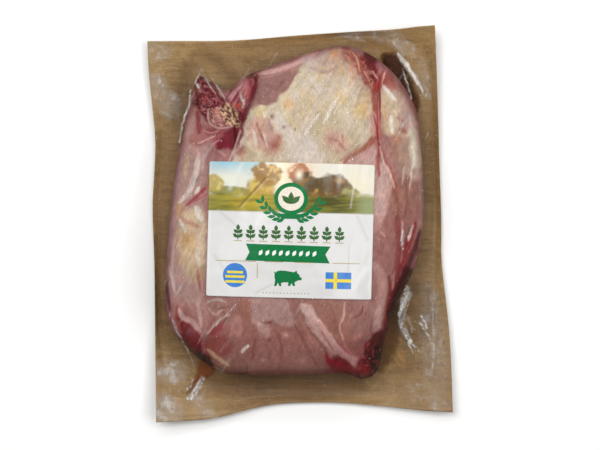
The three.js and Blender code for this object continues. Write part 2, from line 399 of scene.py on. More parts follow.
def keep_colours(piece, name, values):
    """Stores linear colours, one for each point of a piece."""
    layer = piece.data.color_attributes.new(name, "FLOAT_COLOR", "POINT")
    full = np.ones((len(piece.data.vertices), 4), np.float32)
    full[: len(values), :3] = values
    layer.data.foreach_set("color", full.ravel())


def keep_mask(piece, name, values):
    """Stores a number for each point of a piece."""
    layer = piece.data.attributes.new(name, "FLOAT", "POINT")
    full = np.zeros(len(piece.data.vertices), np.float32)
    full[: values.size] = values.ravel()
    layer.data.foreach_set("value", full)


def finish_piece(piece, node, material):
    piece.data.materials.append(material)
    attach(piece, "root")
    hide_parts(node)


# ---------------------------------------------------------------- materials


def build_grain_group():
    """Noise on a piece's own coordinates, stretched and turned: the grain of every material."""
    group = bpy.data.node_groups.new("piece_grain", "ShaderNodeTree")
    vectors, numbers = ("Stretch", "Turn"), ("Scale", "Detail", "Roughness", "Distortion")
    for name in vectors + numbers:
        kind = "NodeSocketVector" if name in vectors else "NodeSocketFloat"
        group.interface.new_socket(name, in_out="INPUT", socket_type=kind)
    group.interface.new_socket("Grain", in_out="OUTPUT", socket_type="NodeSocketFloat")
    given = group.nodes.new("NodeGroupInput").outputs
    places = group.nodes.new("ShaderNodeTexCoord").outputs["Object"]
    mapping = group.nodes.new("ShaderNodeMapping")
    noise = group.nodes.new("ShaderNodeTexNoise")
    links = [
        (places, mapping.inputs["Vector"]),
        (given["Stretch"], mapping.inputs["Scale"]),
        (given["Turn"], mapping.inputs["Rotation"]),
        (mapping.outputs[0], noise.inputs["Vector"]),
        (noise.outputs["Fac"], group.nodes.new("NodeGroupOutput").inputs["Grain"]),
    ]
    links += [(given[name], noise.inputs[name]) for name in numbers]
    for source, target in links:
        group.links.new(source, target)
    return group


GRAIN_GROUP = build_grain_group()
MIX_COLOUR_INPUTS, MIX_COLOUR_OUTPUT = (0, 6, 7), 2  # a Mix node's sockets when it mixes colours


class Finish:
    """A material's node tree, with short calls for the nodes that it takes."""

    def __init__(self, name, **constants):
        self.material = bpy.data.materials.new(name)
        self.material.use_nodes = True
        self.tree = self.material.node_tree
        self.tree.nodes.clear()
        self.output = self.node("ShaderNodeOutputMaterial")
        self.base = self.node("ShaderNodeBsdfPrincipled")
        self.set(self.base, **constants)
        self.join(self.base.outputs[0], self.output.inputs[0])

    def node(self, kind, **settings):
        made = self.tree.nodes.new(kind)
        for key, value in settings.items():
            setattr(made, key, value)
        return made

    def set(self, node, **constants):
        for key, value in constants.items():
            node.inputs[key.replace("_", " ")].default_value = value

    def join(self, source, target):
        self.tree.links.new(source, target)

    def give(self, node, *values, places=range(5)):
        """Feeds a node's inputs from other nodes' outputs, or sets them to constants."""
        for value, place in zip(values, places):
            if isinstance(value, bpy.types.NodeSocket):
                self.join(value, node.inputs[place])
            else:
                node.inputs[place].default_value = value
        return node.outputs[0]

    def feed(self, **sources):
        """Feeds the main shader's inputs from other nodes' outputs."""
        for key, source in sources.items():
            self.join(source, self.base.inputs[key.replace("_", " ")])

    def attribute(self, name, output="Color"):
        return self.node("ShaderNodeAttribute", attribute_name=name).outputs[output]

    def noise(self, scale, detail=3.0, roughness=0.55, distortion=0.0, stretch=(1, 1, 1), turn=0.0):
        """Grain on the piece's own coordinates, turned about Z in degrees."""
        made = self.node("ShaderNodeGroup", node_tree=GRAIN_GROUP)
        self.set(made, Stretch=stretch, Turn=(0, 0, math.radians(turn)), Scale=scale, Detail=detail,
                 Roughness=roughness, Distortion=distortion)
        return made.outputs["Grain"]

    def math(self, operation, first, second=0.0):
        return self.give(self.node("ShaderNodeMath", operation=operation), first, second)

    def ridges(self, noise):
        """How far noise is from its middle, which runs in thin lines where it is nought."""
        return self.math("ABSOLUTE", self.math("SUBTRACT", noise, 0.5))

    def total(self, *parts):
        """The sum of values, each times its weight."""
        products = [self.math("MULTIPLY", value, weight) for value, weight in parts]
        made = products[0]
        for product in products[1:]:
            made = self.math("ADD", made, product)
        return made

    def between(self, value, low, high, to_low=0.0, to_high=1.0):
        """A value's share of the way from low to high, smoothed, on a new scale."""
        made = self.node("ShaderNodeMapRange", interpolation_type="SMOOTHSTEP")
        return self.give(made, value, low, high, to_low, to_high)

    def blend(self, share, first, second, mode="MIX"):
        """A mix of two colours."""
        made = self.node("ShaderNodeMix", data_type="RGBA", blend_type=mode)
        self.give(made, share, first, second, places=MIX_COLOUR_INPUTS)
        return made.outputs[MIX_COLOUR_OUTPUT]

    def mix(self, share, first, second):
        """A mix of two shaders."""
        return self.give(self.node("ShaderNodeMixShader"), share, first, second)

    def bump(self, height, strength, distance):
        made = self.node("ShaderNodeBump")
        self.join(height, made.inputs["Height"])
        self.set(made, Strength=strength, Distance=distance)
        return made.outputs[0]


def rgba(code):
    return (*colour(code), 1.0)


def meat_finish():
    """Moist raw pork: painted fat and lean, with fine fibres and a satin shine."""
    f = Finish("moist_pork", IOR=1.4, Specular_IOR_Level=0.2, Subsurface_Weight=0.1,
               Subsurface_Scale=0.0012, Subsurface_Radius=(1.0, 0.35, 0.25))
    fibre = f.noise(1400, 4, 0.6, 0.3, stretch=(1, 0.22, 0.6), turn=28)
    cloud = f.noise(240, 4, 0.65)
    shade = f.math("MULTIPLY", f.between(fibre, 0.25, 0.75, 0.8, 1.16),
                   f.between(cloud, 0.25, 0.75, 0.92, 1.07))
    f.feed(
        Base_Color=f.blend(1.0, f.attribute("paint"), shade, "MULTIPLY"),
        Roughness=f.between(cloud, 0.3, 0.7, 0.3, 0.5),
        Normal=f.bump(f.total((fibre, 1.0), (cloud, 0.8)), 0.5, 0.4 * MM),
    )
    return f.material


def clear_film_finish():
    """Clear film: it shows what lies behind, mirrors the lights, and is milky where it is creased, where
    highlights and reflections are also painted on it.
    """
    f = Finish("clear_vacuum_film", Base_Color=rgba("EFEAE4"), Roughness=0.32, IOR=1.5)
    fine = f.noise(700, 4, 0.7, 1.5)
    creases = f.ridges(f.noise(120, 3, 0.6, 0.8, stretch=(1, 0.45, 1), turn=32))
    crinkles = f.ridges(f.noise(260, 2, 0.6, 1.2, stretch=(1, 0.6, 1), turn=-20))
    normal = f.bump(f.total((creases, -1.6), (crinkles, -0.7), (fine, 0.1)), 0.8, 4.5 * MM)
    f.feed(Normal=normal)
    # Mirrored lights, faint even at a grazing angle
    mirror = f.node("ShaderNodeBsdfPrincipled")
    f.set(mirror, Base_Color=rgba("FFFFFF"), Metallic=1.0, Roughness=0.09)
    f.join(normal, mirror.inputs["Normal"])
    fresnel = f.node("ShaderNodeFresnel")
    f.set(fresnel, IOR=1.42)
    f.join(normal, fresnel.inputs["Normal"])
    clear = f.node("ShaderNodeBsdfTransparent").outputs[0]
    glossy = f.mix(f.math("MINIMUM", fresnel.outputs[0], 0.06), clear, mirror.outputs[0])
    # Milky veins and threads where the film is creased, breaking up its milky patches and painted highlights
    veins = f.between(crinkles, 0.0, 0.035, 1.0, 0.0)
    threads = f.between(f.ridges(fine), 0.0, 0.06, 1.0, 0.0)
    broken = f.math("MAXIMUM", veins, f.math("MULTIPLY", threads, 0.7))
    cover = f.math("ADD", f.math("MULTIPLY", broken, 0.5), 0.6)
    cover = f.math("MULTIPLY", f.attribute("haze_and_glints", "Fac"), cover)
    milk_and_glints = f.mix(f.math("MINIMUM", cover, 0.92), glossy, f.base.outputs[0])
    from_inside = f.node("ShaderNodeNewGeometry").outputs["Backfacing"]
    f.join(f.mix(from_inside, milk_and_glints, clear), f.output.inputs[0])
    return f.material


def base_film_finish():
    """Brown film printed like paper: long streaks one way, a fine weave across them."""
    f = Finish("brown_paper_film", IOR=1.5, Coat_Weight=0.5, Coat_Roughness=0.25)
    streaks = f.noise(330, 4, stretch=(0.05, 1, 1))
    threads = f.noise(1300, 2, 0.5, stretch=(0.1, 1, 1))
    weave = f.math("ADD", f.noise(1100, 2, 0.5, stretch=(1, 0.2, 1)),
                   f.noise(1100, 2, 0.5, stretch=(0.25, 1, 1)))
    clouds = f.noise(22, 3, 0.5)
    tone = f.total((streaks, 0.4), (weave, 0.27), (clouds, 0.3), (threads, 0.3))
    tint = f.blend(f.between(tone, 0.44, 1.02), rgba("6D5130"), rgba("A98858"))
    f.feed(
        Base_Color=f.blend(1.0, tint, f.attribute("shade"), "MULTIPLY"),
        Roughness=f.between(tone, 0.5, 1.05, 0.36, 0.55),
        Normal=f.bump(weave, 0.35, 0.2 * MM),
    )
    return f.material


def label_finish():
    """Coated paper with its printed picture."""
    f = Finish("coated_label", IOR=1.5, Coat_Weight=0.3, Coat_Roughness=0.2)
    fibres = f.noise(1500, 3, 0.6)
    f.feed(
        Base_Color=f.blend(f.between(fibres, 0.2, 0.8, 0.0, 0.05), f.attribute("paint"), rgba("B9B4AC")),
        Roughness=f.between(fibres, 0.3, 0.7, 0.3, 0.42),
        Normal=f.bump(f.noise(160, 3, 0.5), 0.3, 0.5 * MM),
    )
    return f.material


def ink_finish(name, code, blotches):
    """Printed ink, blotched with a second shade."""
    f = Finish(name, IOR=1.5, Coat_Weight=0.3, Coat_Roughness=0.2)
    blotch = f.noise(900, 3, 0.6)
    f.feed(
        Base_Color=f.blend(f.between(blotch, 0.3, 0.7), rgba(code), rgba(blotches)),
        Roughness=f.between(blotch, 0.3, 0.7, 0.32, 0.42),
    )
    return f.material


def juice_finish():
    """Meat juice: dark where it is deep, amber and clear at its edges."""
    f = Finish("meat_juice", Roughness=0.1, IOR=1.36)
    clots = f.between(f.noise(320, 4, 0.65, 0.6), 0.52, 0.68, 0.0, 0.4)
    f.feed(
        Base_Color=f.blend(clots, f.attribute("tint"), rgba("84502A")),
        Alpha=f.attribute("depth", "Fac"),
    )
    return f.material


def floor_finish():
    f = Finish("pale_floor", Roughness=0.7)
    f.feed(Base_Color=f.blend(f.noise(3, 2), rgba("FDFDFC"), rgba("FFFFFE")))
    return f.material


# ---------------------------------------------------------------- the ham

FAT, FAT_GREY, FAT_YELLOW = "CDBFA6", "DCD2CB", "D6BE90"
LEAN, LEAN_PALE, LEAN_DEEP = colour("A57A75"), colour("BF9C97"), colour("8A5753")
# Torn pulp on the flap: its dark red, and its paler pink, which is partly painted highlight on the wet pulp
PULP, PULP_PINK_AND_GLINT = "7C3440", "B87476"
MEAT_WARMTH = np.array([0.985, 0.955, 0.915])
FILM_VEIL = 0.008  # light that the film throws back over everything under it
WAIST_INSET = 0.997  # keeps the outermost ring of the top just inside the waist
# Painted shade on the flank: the share taken off red, green and blue
FLANK_SHADE = np.array([0.46, 0.66, 0.62])
FLANK_RINGS = 9
FLANK_INSET = 0.022  # at the foot of the flank, as a share of the ham's width
FLANK_REPEAT = 0.17  # how far in from the waist the flank's paint is taken from
EASED_FROM, EASED = 0.985, 0.7  # where the top starts to ease down to the waist, and by how much
UNDER_SHARES = np.array([0.9, 0.6, 0.3])  # rings of the flat underside, as shares of the waist


class Meat(Canvas):
    """A canvas with the patterns that fat and lean are made of."""

    def __init__(self, x, y):
        super().__init__(x, y, LEAN)
        self.fat_grain = grain(x, y, 57, 30 * MM, 2.6 * MM, 50, 3)
        self.lean_grain = grain(x, y, 105, 26 * MM, 2.2 * MM, 51, 3)
        self.speckle = mottle(x, y, 2.2 * MM, 52, 2)
        self.patchy = mottle(x, y, 9 * MM, 53, 3)

    def washes(self, *areas):
        """Fills areas: (outline, colour, softness, strength)."""
        for area in areas:
            self.wash(*area)

    def strokes(self, *lines):
        """Draws lines: (points, colour, width)."""
        for points, code, width in lines:
            self.stroke(points, code, width, 0.82)

    def dots(self, *places):
        """Sets soft dots: (spot, colour, radius)."""
        for spot, code, radius in places:
            self.dot(spot, code, radius, 0.85)


def paint_right_side(c):
    c.washes(
        ([(64, 30), (74, 40), (90, 24), (99, -5), (92, -22), (80, -50), (66, -70), (50, -70), (50, -20)],
         "A87D78", 4, 1),
        ([(74, 22), (94, 24), (96, 4), (90, -4), (74, 0), (68, 8)], "A57C73", 3, 0.8),
        ([(63, 28), (75, 21), (71, 5), (66, -8), (60, -8)], "CBABA6", 1.2, 0.95),
        ([(60, -8), (66, -6), (66, -14), (60, -18)], "BD9692", 2, 0.7),
        ([(85, -28), (93, -28), (92, -40), (84, -44)], "A5787C", 1.5, 0.9),
    )
    c.strokes(
        ([(97, 34), (98.5, 4), (97, -20)], "C6A9A2", 5.5),
        ([(60, -30), (66, -38), (67, -52), (62, -72)], "C3A19D", 9),
        ([(78, -2), (80, -20), (77, -34)], "98504F", 6),
        ([(93, -6), (88, -16), (84, -27), (80, -39), (74, -52), (71, -62), (69, -74)], "88272F", 8),
        ([(97, -10), (91, -24), (84, -38), (76, -54), (69, -74)], "4F1A20", 5),
        ([(72, -37), (73, -53), (70, -66)], "8B3A3C", 3),
        # Painted highlights: glints on the film over the meat, in this line and the next
        ([(82, -5), (82.5, -14), (82.7, -23)], "E6BDB6", 1.5),
        ([(91, -7), (87.3, -16.5)], "EBD4D0", 2.2),
        ([(84, -18), (81, -30)], "B5787A", 2),
        # Painted highlight: a glint on the film over the meat
        ([(65, -11), (69, -14)], "DDB9B2", 1.2),
        ([(76, -36), (75, -46)], "D9AFA9", 1.2),
        ([(85, 20), (86, 6), (84, -3)], "8F6460", 2),
        ([(75, 15), (79, 2), (78, -8)], "96675F", 2.4),
    )
    c.washes(
        ([(84, -33), (92, -37), (89, -48), (80, -56), (74, -64), (70, -60), (77, -45)],
         "421820", 1.5, 0.95),
        ([(44, -67), (50, -64), (56, -67), (58, -73), (55, -79), (49, -79), (45, -74)], "B89896", 1.6, 0.9),
        ([(46, -56), (58, -52), (60, -62), (50, -62)], "B08683", 2, 0.7),
    )
    c.strokes(
        ([(50, -70), (56, -75), (60, -84)], "7E3C3E", 1.8),
        ([(60, -62), (58, -72), (62, -82)], "8A4B4A", 1.8),
        # Painted highlight on the rounded bulge
        ([(46, -68), (53, -66), (57, -71)], "D8BFBB", 1.4),
    )


def paint_bottom(c):
    c.wash([(-65, -56), (4, -50), (48, -52), (60, -71), (48, -89), (27, -99), (-4, -99), (-43, -96),
            (-63, -89), (-71, -74)], "9E726B", 4)
    c.value *= (1 + 0.12 * c.lean_grain)[:, None]
    c.washes(
        ([(-34, -50), (-8, -50), (-1, -65), (-8, -67), (-17, -63), (-31, -66)], "B3918D", 1.2, 0.85),
        ([(-42, -52), (-33, -52), (-33, -64), (-41, -64)], "A06C60", 1.5, 0.8),
        ([(-27, -66), (-19, -67), (-19, -73), (-27, -71)], "BFA09C", 1.5, 0.8),
        ([(8, -52), (38, -52), (42, -70), (36, -80), (22, -68)], "A5786C", 2, 0.8),
        ([(4, -54), (12, -55), (22, -66), (35, -79), (50, -88), (48, -92), (38, -89), (34, -84), (29, -84),
          (21, -77), (10, -67)], "CFAEAA", 1, 0.95),
        ([(24, -82), (30, -86), (36, -86), (46, -93), (45, -97), (34, -96), (26, -91)], "8E2432", 1.6, 0.95),
        ([(-48, -62), (-40, -63), (-41, -73), (-50, -71)], "B98C86", 2, 0.7),
    )
    c.strokes(
        ([(38, -53), (37.3, -61), (34.3, -67), (37, -75)], "E0B8B0", 1.5),
        ([(37, -75), (40, -80), (44, -84)], "CF8A84", 1.2),
        ([(-21, -65), (-17, -64)], "7B3038", 1.6),
        # Painted highlights: glints on the film, in this line and the next
        ([(-34.9, -78), (-40.7, -83)], "E2D2CE", 2.6),
        ([(-50.4, -76), (-54.3, -80)], "D0B5AE", 2),
        ([(0, -66), (10, -80), (18, -92)], "8C5E57", 3),
        ([(-12, -70), (-10, -84), (-14, -95)], "8F615C", 2.5),
        ([(-30, -74), (-32, -86), (-36, -93)], "8C5B55", 2.5),
        ([(20, -70), (30, -82)], "B77C74", 2),
        ([(52, -55), (50, -60), (44, -62)], "7F4A48", 1.5),
    )
    c.dots(((-27, -66), "E0C8C2", 1), ((-18.5, -74.5), "7A4A48", 1.2), ((-7, -72), "C9A5A0", 2),
           ((-24, -88), "BF9A94", 1.6), ((6, -88), "B78F8A", 2))


def paint_lower_right_tip(c):
    c.wash([(54, -78), (66, -70), (70, -84), (64, -96), (55, -102), (48, -99), (47, -91), (53, -85)],
           "571019", 1.6)
    c.wash([(60, -82), (66, -79), (65, -92), (57, -99)], "2C0910", 1.6, 0.85)
    c.dot([(54, -95)], "9A2E30", 4, 0.8)
    c.dot([(50, -92)], "B5605A", 2, 0.7)
    c.wash([(48, -84), (60, -76), (68, -84), (58, -101), (48, -99)], "B4505A", 1.5, 0.75, 1,
           smooth_step(0.3, 0.6, mottle(c.x, c.y, 1.3 * MM, 66, 1)))


def paint_lower_left(c):
    c.washes(
        ([(-98, -40), (-88, -37), (-74, -46), (-66, -59), (-69, -74), (-74, -84), (-86, -81), (-95, -71)],
         "B98F8B", 3, 1),
        ([(-69, -75), (-53, -73), (-49, -83), (-61, -87), (-69, -84)], "97514F", 3, 0.8),
        ([(-89, -56), (-80, -57), (-74, -64), (-82, -62)], "B07C78", 1.5, 0.8),
        ([(-91, -62), (-83, -64), (-73, -71), (-71, -78), (-73, -87), (-78, -90), (-86, -81)],
         "80363A", 1.6, 1),
        ([(-78, -84), (-70, -82), (-62, -90), (-66, -95), (-76, -92)], "3A0D14", 1.6, 0.95),
    )
    c.dots(((-79, -71), "8E5F66", 3), ((-76, -80), "6B1822", 4), ((-66, -82), "B0706A", 2.5))
    c.strokes(
        ([(-90, -55), (-91, -64), (-87, -72)], "A9584A", 3),
        ([(-66, -72), (-58, -69), (-52, -65)], "A04A50", 5),
        ([(-88.5, -57), (-86, -62), (-79, -64.5), (-71.5, -71)], "E3C8C3", 4.2),
        ([(-77, -45), (-73, -57), (-71.5, -68)], "DCC2B8", 2.8),
        ([(-69, -73), (-61, -66), (-50, -60)], "D8A49D", 2.6),
        ([(-67, -81), (-59, -86.5), (-50, -91)], "D2BD9C", 3.4),
        ([(-64, -88), (-57, -91), (-49, -93)], "B98F80", 2.4),
        # Painted highlight: a glint on the film over the dark edge
        ([(-61, -92.5), (-57, -94.5)], "DCCCCC", 1.8),
        ([(-67, -53), (-60, -51), (-52, -53)], "BBAAA0", 2),
        ([(-66, -56), (-60, -60), (-54, -56)], "C3A79C", 1.6),
        ([(-58, -57), (-49, -55)], "7F5A52", 1.4),
        ([(-98, -28), (-98.5, -42), (-96, -58)], "63283A", 3),
        ([(-90, -84), (-74, -94), (-58, -97), (-36, -96)], "3A1016", 3),
    )
    c.wash([(-86, -41), (-76, -42), (-75, -51), (-81, -53), (-86, -48)], "DED2C4", 1.2, 0.95)
    c.dot([(-80, -46)], "B59A8C", 1.6, 0.8)
    c.stroke([(-81, -37), (-84, -47), (-79, -53)], "A88068", 1.3, 0.8)


def paint_left_side(c):
    c.washes(
        ([(-77, 57), (-65, 50), (-65, 32), (-69, 8), (-70, -46), (-77, -53), (-93, -49), (-99, -34),
          (-97, -4), (-90, 26), (-86, 44)], "B5918C", 3, 1),
        ([(-86, -1), (-77, 2), (-70, -1), (-68, -19), (-70, -33), (-83, -37), (-89, -25), (-90, -12)],
         "CFB89F", 2.5, 0.95),
        ([(-82, -34), (-70, -30), (-68, -38), (-78, -42)], "B59A7C", 2, 0.8),
        ([(-93, 6), (-86, 6), (-85, -2), (-91, -1)], "C69D7C", 1.5, 0.85),
    )
    c.strokes(
        ([(-88, 30), (-95, 4), (-98, -26)], "B59C9E", 5),
        ([(-82, 34), (-84, 20)], "C2AA8C", 3.5),
        ([(-73, 35), (-77, 20), (-83, 10), (-90, 6)], "DDCBC4", 4.5),
        ([(-70, 36), (-70, 24)], "C9A79C", 2.4),
        ([(-76, 40), (-73, 33)], "D99E96", 1.6),
        ([(-72.7, 15), (-76, 11)], "E8DCD4", 3),
        ([(-67, 15), (-75, 9.5), (-83, 4)], "A83C46", 2.6),
        ([(-67, 11), (-77, 6)], "B85F5E", 1.8),
        ([(-76, 3.5), (-71, -5)], "E5DCD4", 5),
        ([(-88, -3), (-80, -6), (-72.7, -9)], "BE8C7C", 3.4),
        # Painted highlight: a glint on the film
        ([(-88, -4), (-83, -11)], "EAE2DA", 2.2),
        ([(-72, -12), (-74, -24), (-72, -32)], "DCCDC0", 3),
        ([(-92, -14), (-94, -30), (-92, -44)], "CDB0AC", 2.4),
        ([(-96, -32), (-92, -48)], "E0C8C4", 1.4),
        ([(-74, -34), (-72, -46)], "A2605A", 2.4),
    )
    c.dots(((-83, -16), "CB9E68", 5.5), ((-79, -20), "D6B98C", 4), ((-85, -29), "CBA680", 4))


def paint_fat_cap(c):
    fat = [(-49, 31), (-46, 37), (-39, 45), (-39, 52), (-33, 60), (-26, 63), (-21, 63), (-15, 65), (-12, 70),
           (-4, 74), (1, 82), (4, 86), (18, 93), (35, 99), (46, 98), (52, 89), (60, 78), (65, 73), (64, 56),
           (60, 45), (52, 37), (41, 28), (20, 10), (-30, 5)]
    c.wash(fat, FAT, 1.2, 1, 1.6)
    c.wash(fat, FAT_GREY, 2, 0.7, 2, smooth_step(-0.3, 0.6, 0.7 * c.fat_grain + 0.7 * c.patchy))
    c.wash(fat, FAT_YELLOW, 2, 0.6, 2, smooth_step(0.2, 0.7, c.patchy - 0.3 * c.fat_grain))
    c.wash(fat, "B79A8A", 2, 0.35, 2, smooth_step(0.3, 0.75, -c.fat_grain + 0.2 * c.speckle))
    c.washes(
        ([(6, 94), (20, 95), (36, 100), (40, 92), (26, 86), (12, 84)], "C6B3AC", 3, 0.75),
        ([(-13, 59), (-5, 53), (4, 47), (13, 45), (22, 30), (0, 28), (-6, 40), (-13, 48)], "DAD2CC", 3, 0.8),
        ([(14, 56), (30, 66), (38, 50), (28, 34), (16, 40)], "C9BCA2", 3, 0.7),
        ([(-37, 52), (-22, 56), (-15, 48), (-11, 40), (-18, 34), (-32, 40)], "C4988E", 2.5, 0.75),
        ([(24, 48), (38, 46), (40, 34), (26, 36)], "CBA39A", 3, 0.6),
    )
    c.strokes(
        ([(-32, 49), (-30, 44), (-29, 39)], "E0D4CA", 2.6),
        ([(-38, 44), (-44, 37), (-48, 30)], "DDD0C2", 4),
        ([(-29, 53), (-24, 42)], "B27468", 2.2),
        ([(-20, 55), (-17, 48)], "A8888C", 2.6),
        ([(-24, 47), (-20, 38)], "E2D2CA", 1.6),
        ([(-26, 63), (-22, 56)], "E6DCD4", 1.5),
        ([(-6, 59), (0, 50), (5, 47)], "D8C7A6", 3.2),
        ([(-10, 69), (-8, 59), (-4, 52)], "DCCDB0", 3.4),
        ([(8, 69), (12, 61), (11, 56)], "DAC8A4", 3.2),
        ([(0, 76), (6, 70), (4, 62)], "D6C6A6", 3.6),
        ([(13, 80), (17, 75), (20, 70)], "DDD4D0", 4),
        # Painted highlights: long glints on film wrinkles, in this line and the next
        ([(34, 69), (27, 60), (22, 52)], "EAE3DC", 2.4),
        ([(19, 58), (12, 51), (7, 45)], "EAE3DE", 2.4),
        ([(42, 80), (38, 70), (30, 58)], "E6DED4", 2),
        ([(50, 74), (44, 62), (38, 52)], "E4DACC", 1.8),
        ([(30, 88), (24, 76)], "E2D8CC", 2),
        ([(56, 66), (52, 54)], "D8B48E", 2.4),
        ([(46, 84), (42, 76), (40, 66)], "D6BF98", 3),
        ([(20, 86), (18, 76)], "D6C5A0", 4),
        ([(26, 44), (32, 42), (38, 37)], "B4786E", 2),
        ([(36, 46), (37, 40)], "C08A80", 1.6),
        ([(50, 40), (42, 34), (34, 30)], "BE8E84", 2.4),
        ([(12, 86), (24, 83), (32, 87)], "BBA3A0", 3),
    )
    c.dots(((-14, 40), "A8605A", 4), ((-12, 44), "B87870", 2.6), ((-41, 36), "A65F5C", 4.5),
           ((-16, 56), "7A5458", 1.6), ((0, 48.5), "7B6A66", 1.1), ((-8, 50), "8F706C", 1.2),
           ((-4, 64), "DDB078", 3.4), ((35, 68), "DCC48E", 4), ((49, 61), "DBBE88", 4),
           ((31, 95), "CD9C68", 4), ((-26, 60), "D6C090", 3.4), ((40, 73), "E2D6C6", 5),
           ((28, 43), "C4948C", 3), ((10, 36), "DCD5D0", 6), ((38, 57), "DDD2BE", 5))


def paint_top(c):
    c.wash([(-31, 66), (-29, 66), (-22, 63), (-15, 65), (-12, 70), (-4, 74), (0, 81), (4, 85), (-7, 83),
            (-20, 82), (-30, 80)], "99726E", 1.2)
    c.stroke([(-24, 76), (-14, 74), (-8, 78)], "8A605E", 4, 0.6)
    c.strokes(
        ([(-29, 82), (-13, 85), (-2, 88), (7, 91), (18, 96)], "DBB2AE", 4.2),
        ([(4, 90), (16, 92), (26, 98)], "C2AAA8", 4),
        ([(-26, 80), (-14, 82), (-4, 85)], "B98884", 1.4),
    )


def paint_right_fat(c):
    c.washes(
        ([(68, 78), (79, 73), (88, 63), (96, 51), (98, 32), (97, 21), (85, 22), (79, 38), (74, 48), (67, 50)],
         "C0A396", 2.5, 0.95),
        ([(67, 74), (74, 72), (80, 62), (76, 46), (68, 48), (66, 60)], "CBB99E", 2, 0.85),
        ([(84, 64), (95, 52), (93, 46), (84, 52)], "BD9F99", 2, 0.8),
        ([(86, 47), (94, 49), (98, 40), (97, 28), (92, 26), (88, 33)], "D8CDB8", 1.6, 0.95),
        ([(76, 42), (86, 44), (88, 30), (80, 26), (74, 34)], "B08D7C", 2.5, 0.7),
    )
    c.strokes(
        # Painted highlight: a glint on the film
        ([(67, 76), (72, 71), (78, 66)], "EDE5DD", 3),
        ([(73, 57), (75, 47)], "ECE4DC", 3),
        ([(75, 61), (78.5, 57)], "F2CEC4", 1.5),
        ([(80, 50), (86, 47)], "A0604F", 4),
        ([(78, 56), (84, 54)], "B98A80", 2.5),
        ([(88, 58), (90, 50)], "D2BCB2", 2),
        ([(91, 44), (92, 34), (90, 26)], "E4DCCC", 2.4),
        ([(84, 28), (82, 16)], "D0B8AE", 1.6),
        ([(90, 26), (88, 14)], "DCC8BE", 1.6),
        ([(68, 66), (69, 54)], "D8B484", 1.8),
    )
    c.dots(((78, 43), "BC8264", 3.4), ((76, 36), "A87C6A", 3))


def paint_blood_and_seam(c):
    c.wash([(36, 99), (45, 98), (51, 95), (57, 98), (65, 97), (70, 90), (74, 82), (75, 76), (70, 77),
            (62, 70), (56, 74), (50, 80), (45, 86), (38, 92)], "A4504A", 2.4, 0.9, 3)
    c.washes(
        ([(52, 98), (61, 97), (64, 89), (61, 78), (55, 87)], "68222E", 2.2, 0.85),
        ([(42, 100), (54, 100), (53, 95), (46, 96)], "C6ACA8", 1.5, 0.9),
        ([(63, 95), (71, 90), (69, 83), (65, 85)], "B9888C", 1.5, 0.9),
        ([(67, 84), (76, 82), (79, 74), (70, 74)], "A86058", 2.2, 0.7),
        ([(68, 88), (76, 84), (80, 74), (74, 80)], "B98488", 1.8, 0.7),
    )
    c.wash([(38, 96), (46, 78), (62, 70), (68, 76), (60, 84), (50, 96)], "D8A68C", 1.6, 0.7, 2,
           smooth_step(0.1, 0.5, mottle(c.x, c.y, 1.5 * MM, 67, 2) + 0.4 * c.lean_grain))
    c.wash([(46, 92), (52, 78), (64, 70), (70, 78), (64, 86), (56, 92)], "8A2630", 1.6, 0.75, 2,
           smooth_step(0.1, 0.5, -mottle(c.x, c.y, 1.6 * MM, 68, 2)))
    c.strokes(
        # Painted highlights: film crinkles catching the light, in this line and the next four
        ([(43, 97), (48, 91), (49, 84)], "E4BE96", 1.3),
        ([(39, 94), (43, 88), (42, 82)], "E0B48C", 1.3),
        ([(53, 84), (57, 78)], "E8B8A0", 1.2),
        ([(60, 84), (64, 78)], "EFC0B0", 1.1),
        ([(70, 84), (67, 77)], "E5B0A4", 1.1),
        ([(62, 76), (60.5, 66), (62, 56)], "A4483A", 4.5),
        ([(63, 49), (58, 41), (47, 34), (37, 29)], "A6614E", 5.5),
    )
    c.washes(
        ([(57, 57), (62, 58), (64, 50), (62, 45), (58, 47)], "CF9F9B", 1.2, 0.95),
        ([(38, 28), (50, 34), (62, 39), (64, 29), (63, 12), (43, 12)], "C29E99", 1.2, 0.95),
    )
    c.strokes(
        ([(65, 82), (64, 68), (64, 54), (64.4, 39)], "A32C36", 2.8),
        ([(65.6, 74), (65.4, 64), (65, 54)], "4E181C", 1.2),
        ([(64, 66), (64.3, 54), (65, 40)], "E08C8C", 1.1),
        ([(60, 58), (63, 48), (64, 40)], "9A3A36", 1.6),
        ([(64, 38), (63, 29), (64.5, 21)], "A24E48", 3.2),
        ([(65, 39), (69, 31), (74, 23), (78, 10)], "A2605A", 3),
        ([(65, 39), (67, 31), (73, 22), (76, 14)], "E8C4BA", 1.5),
    )


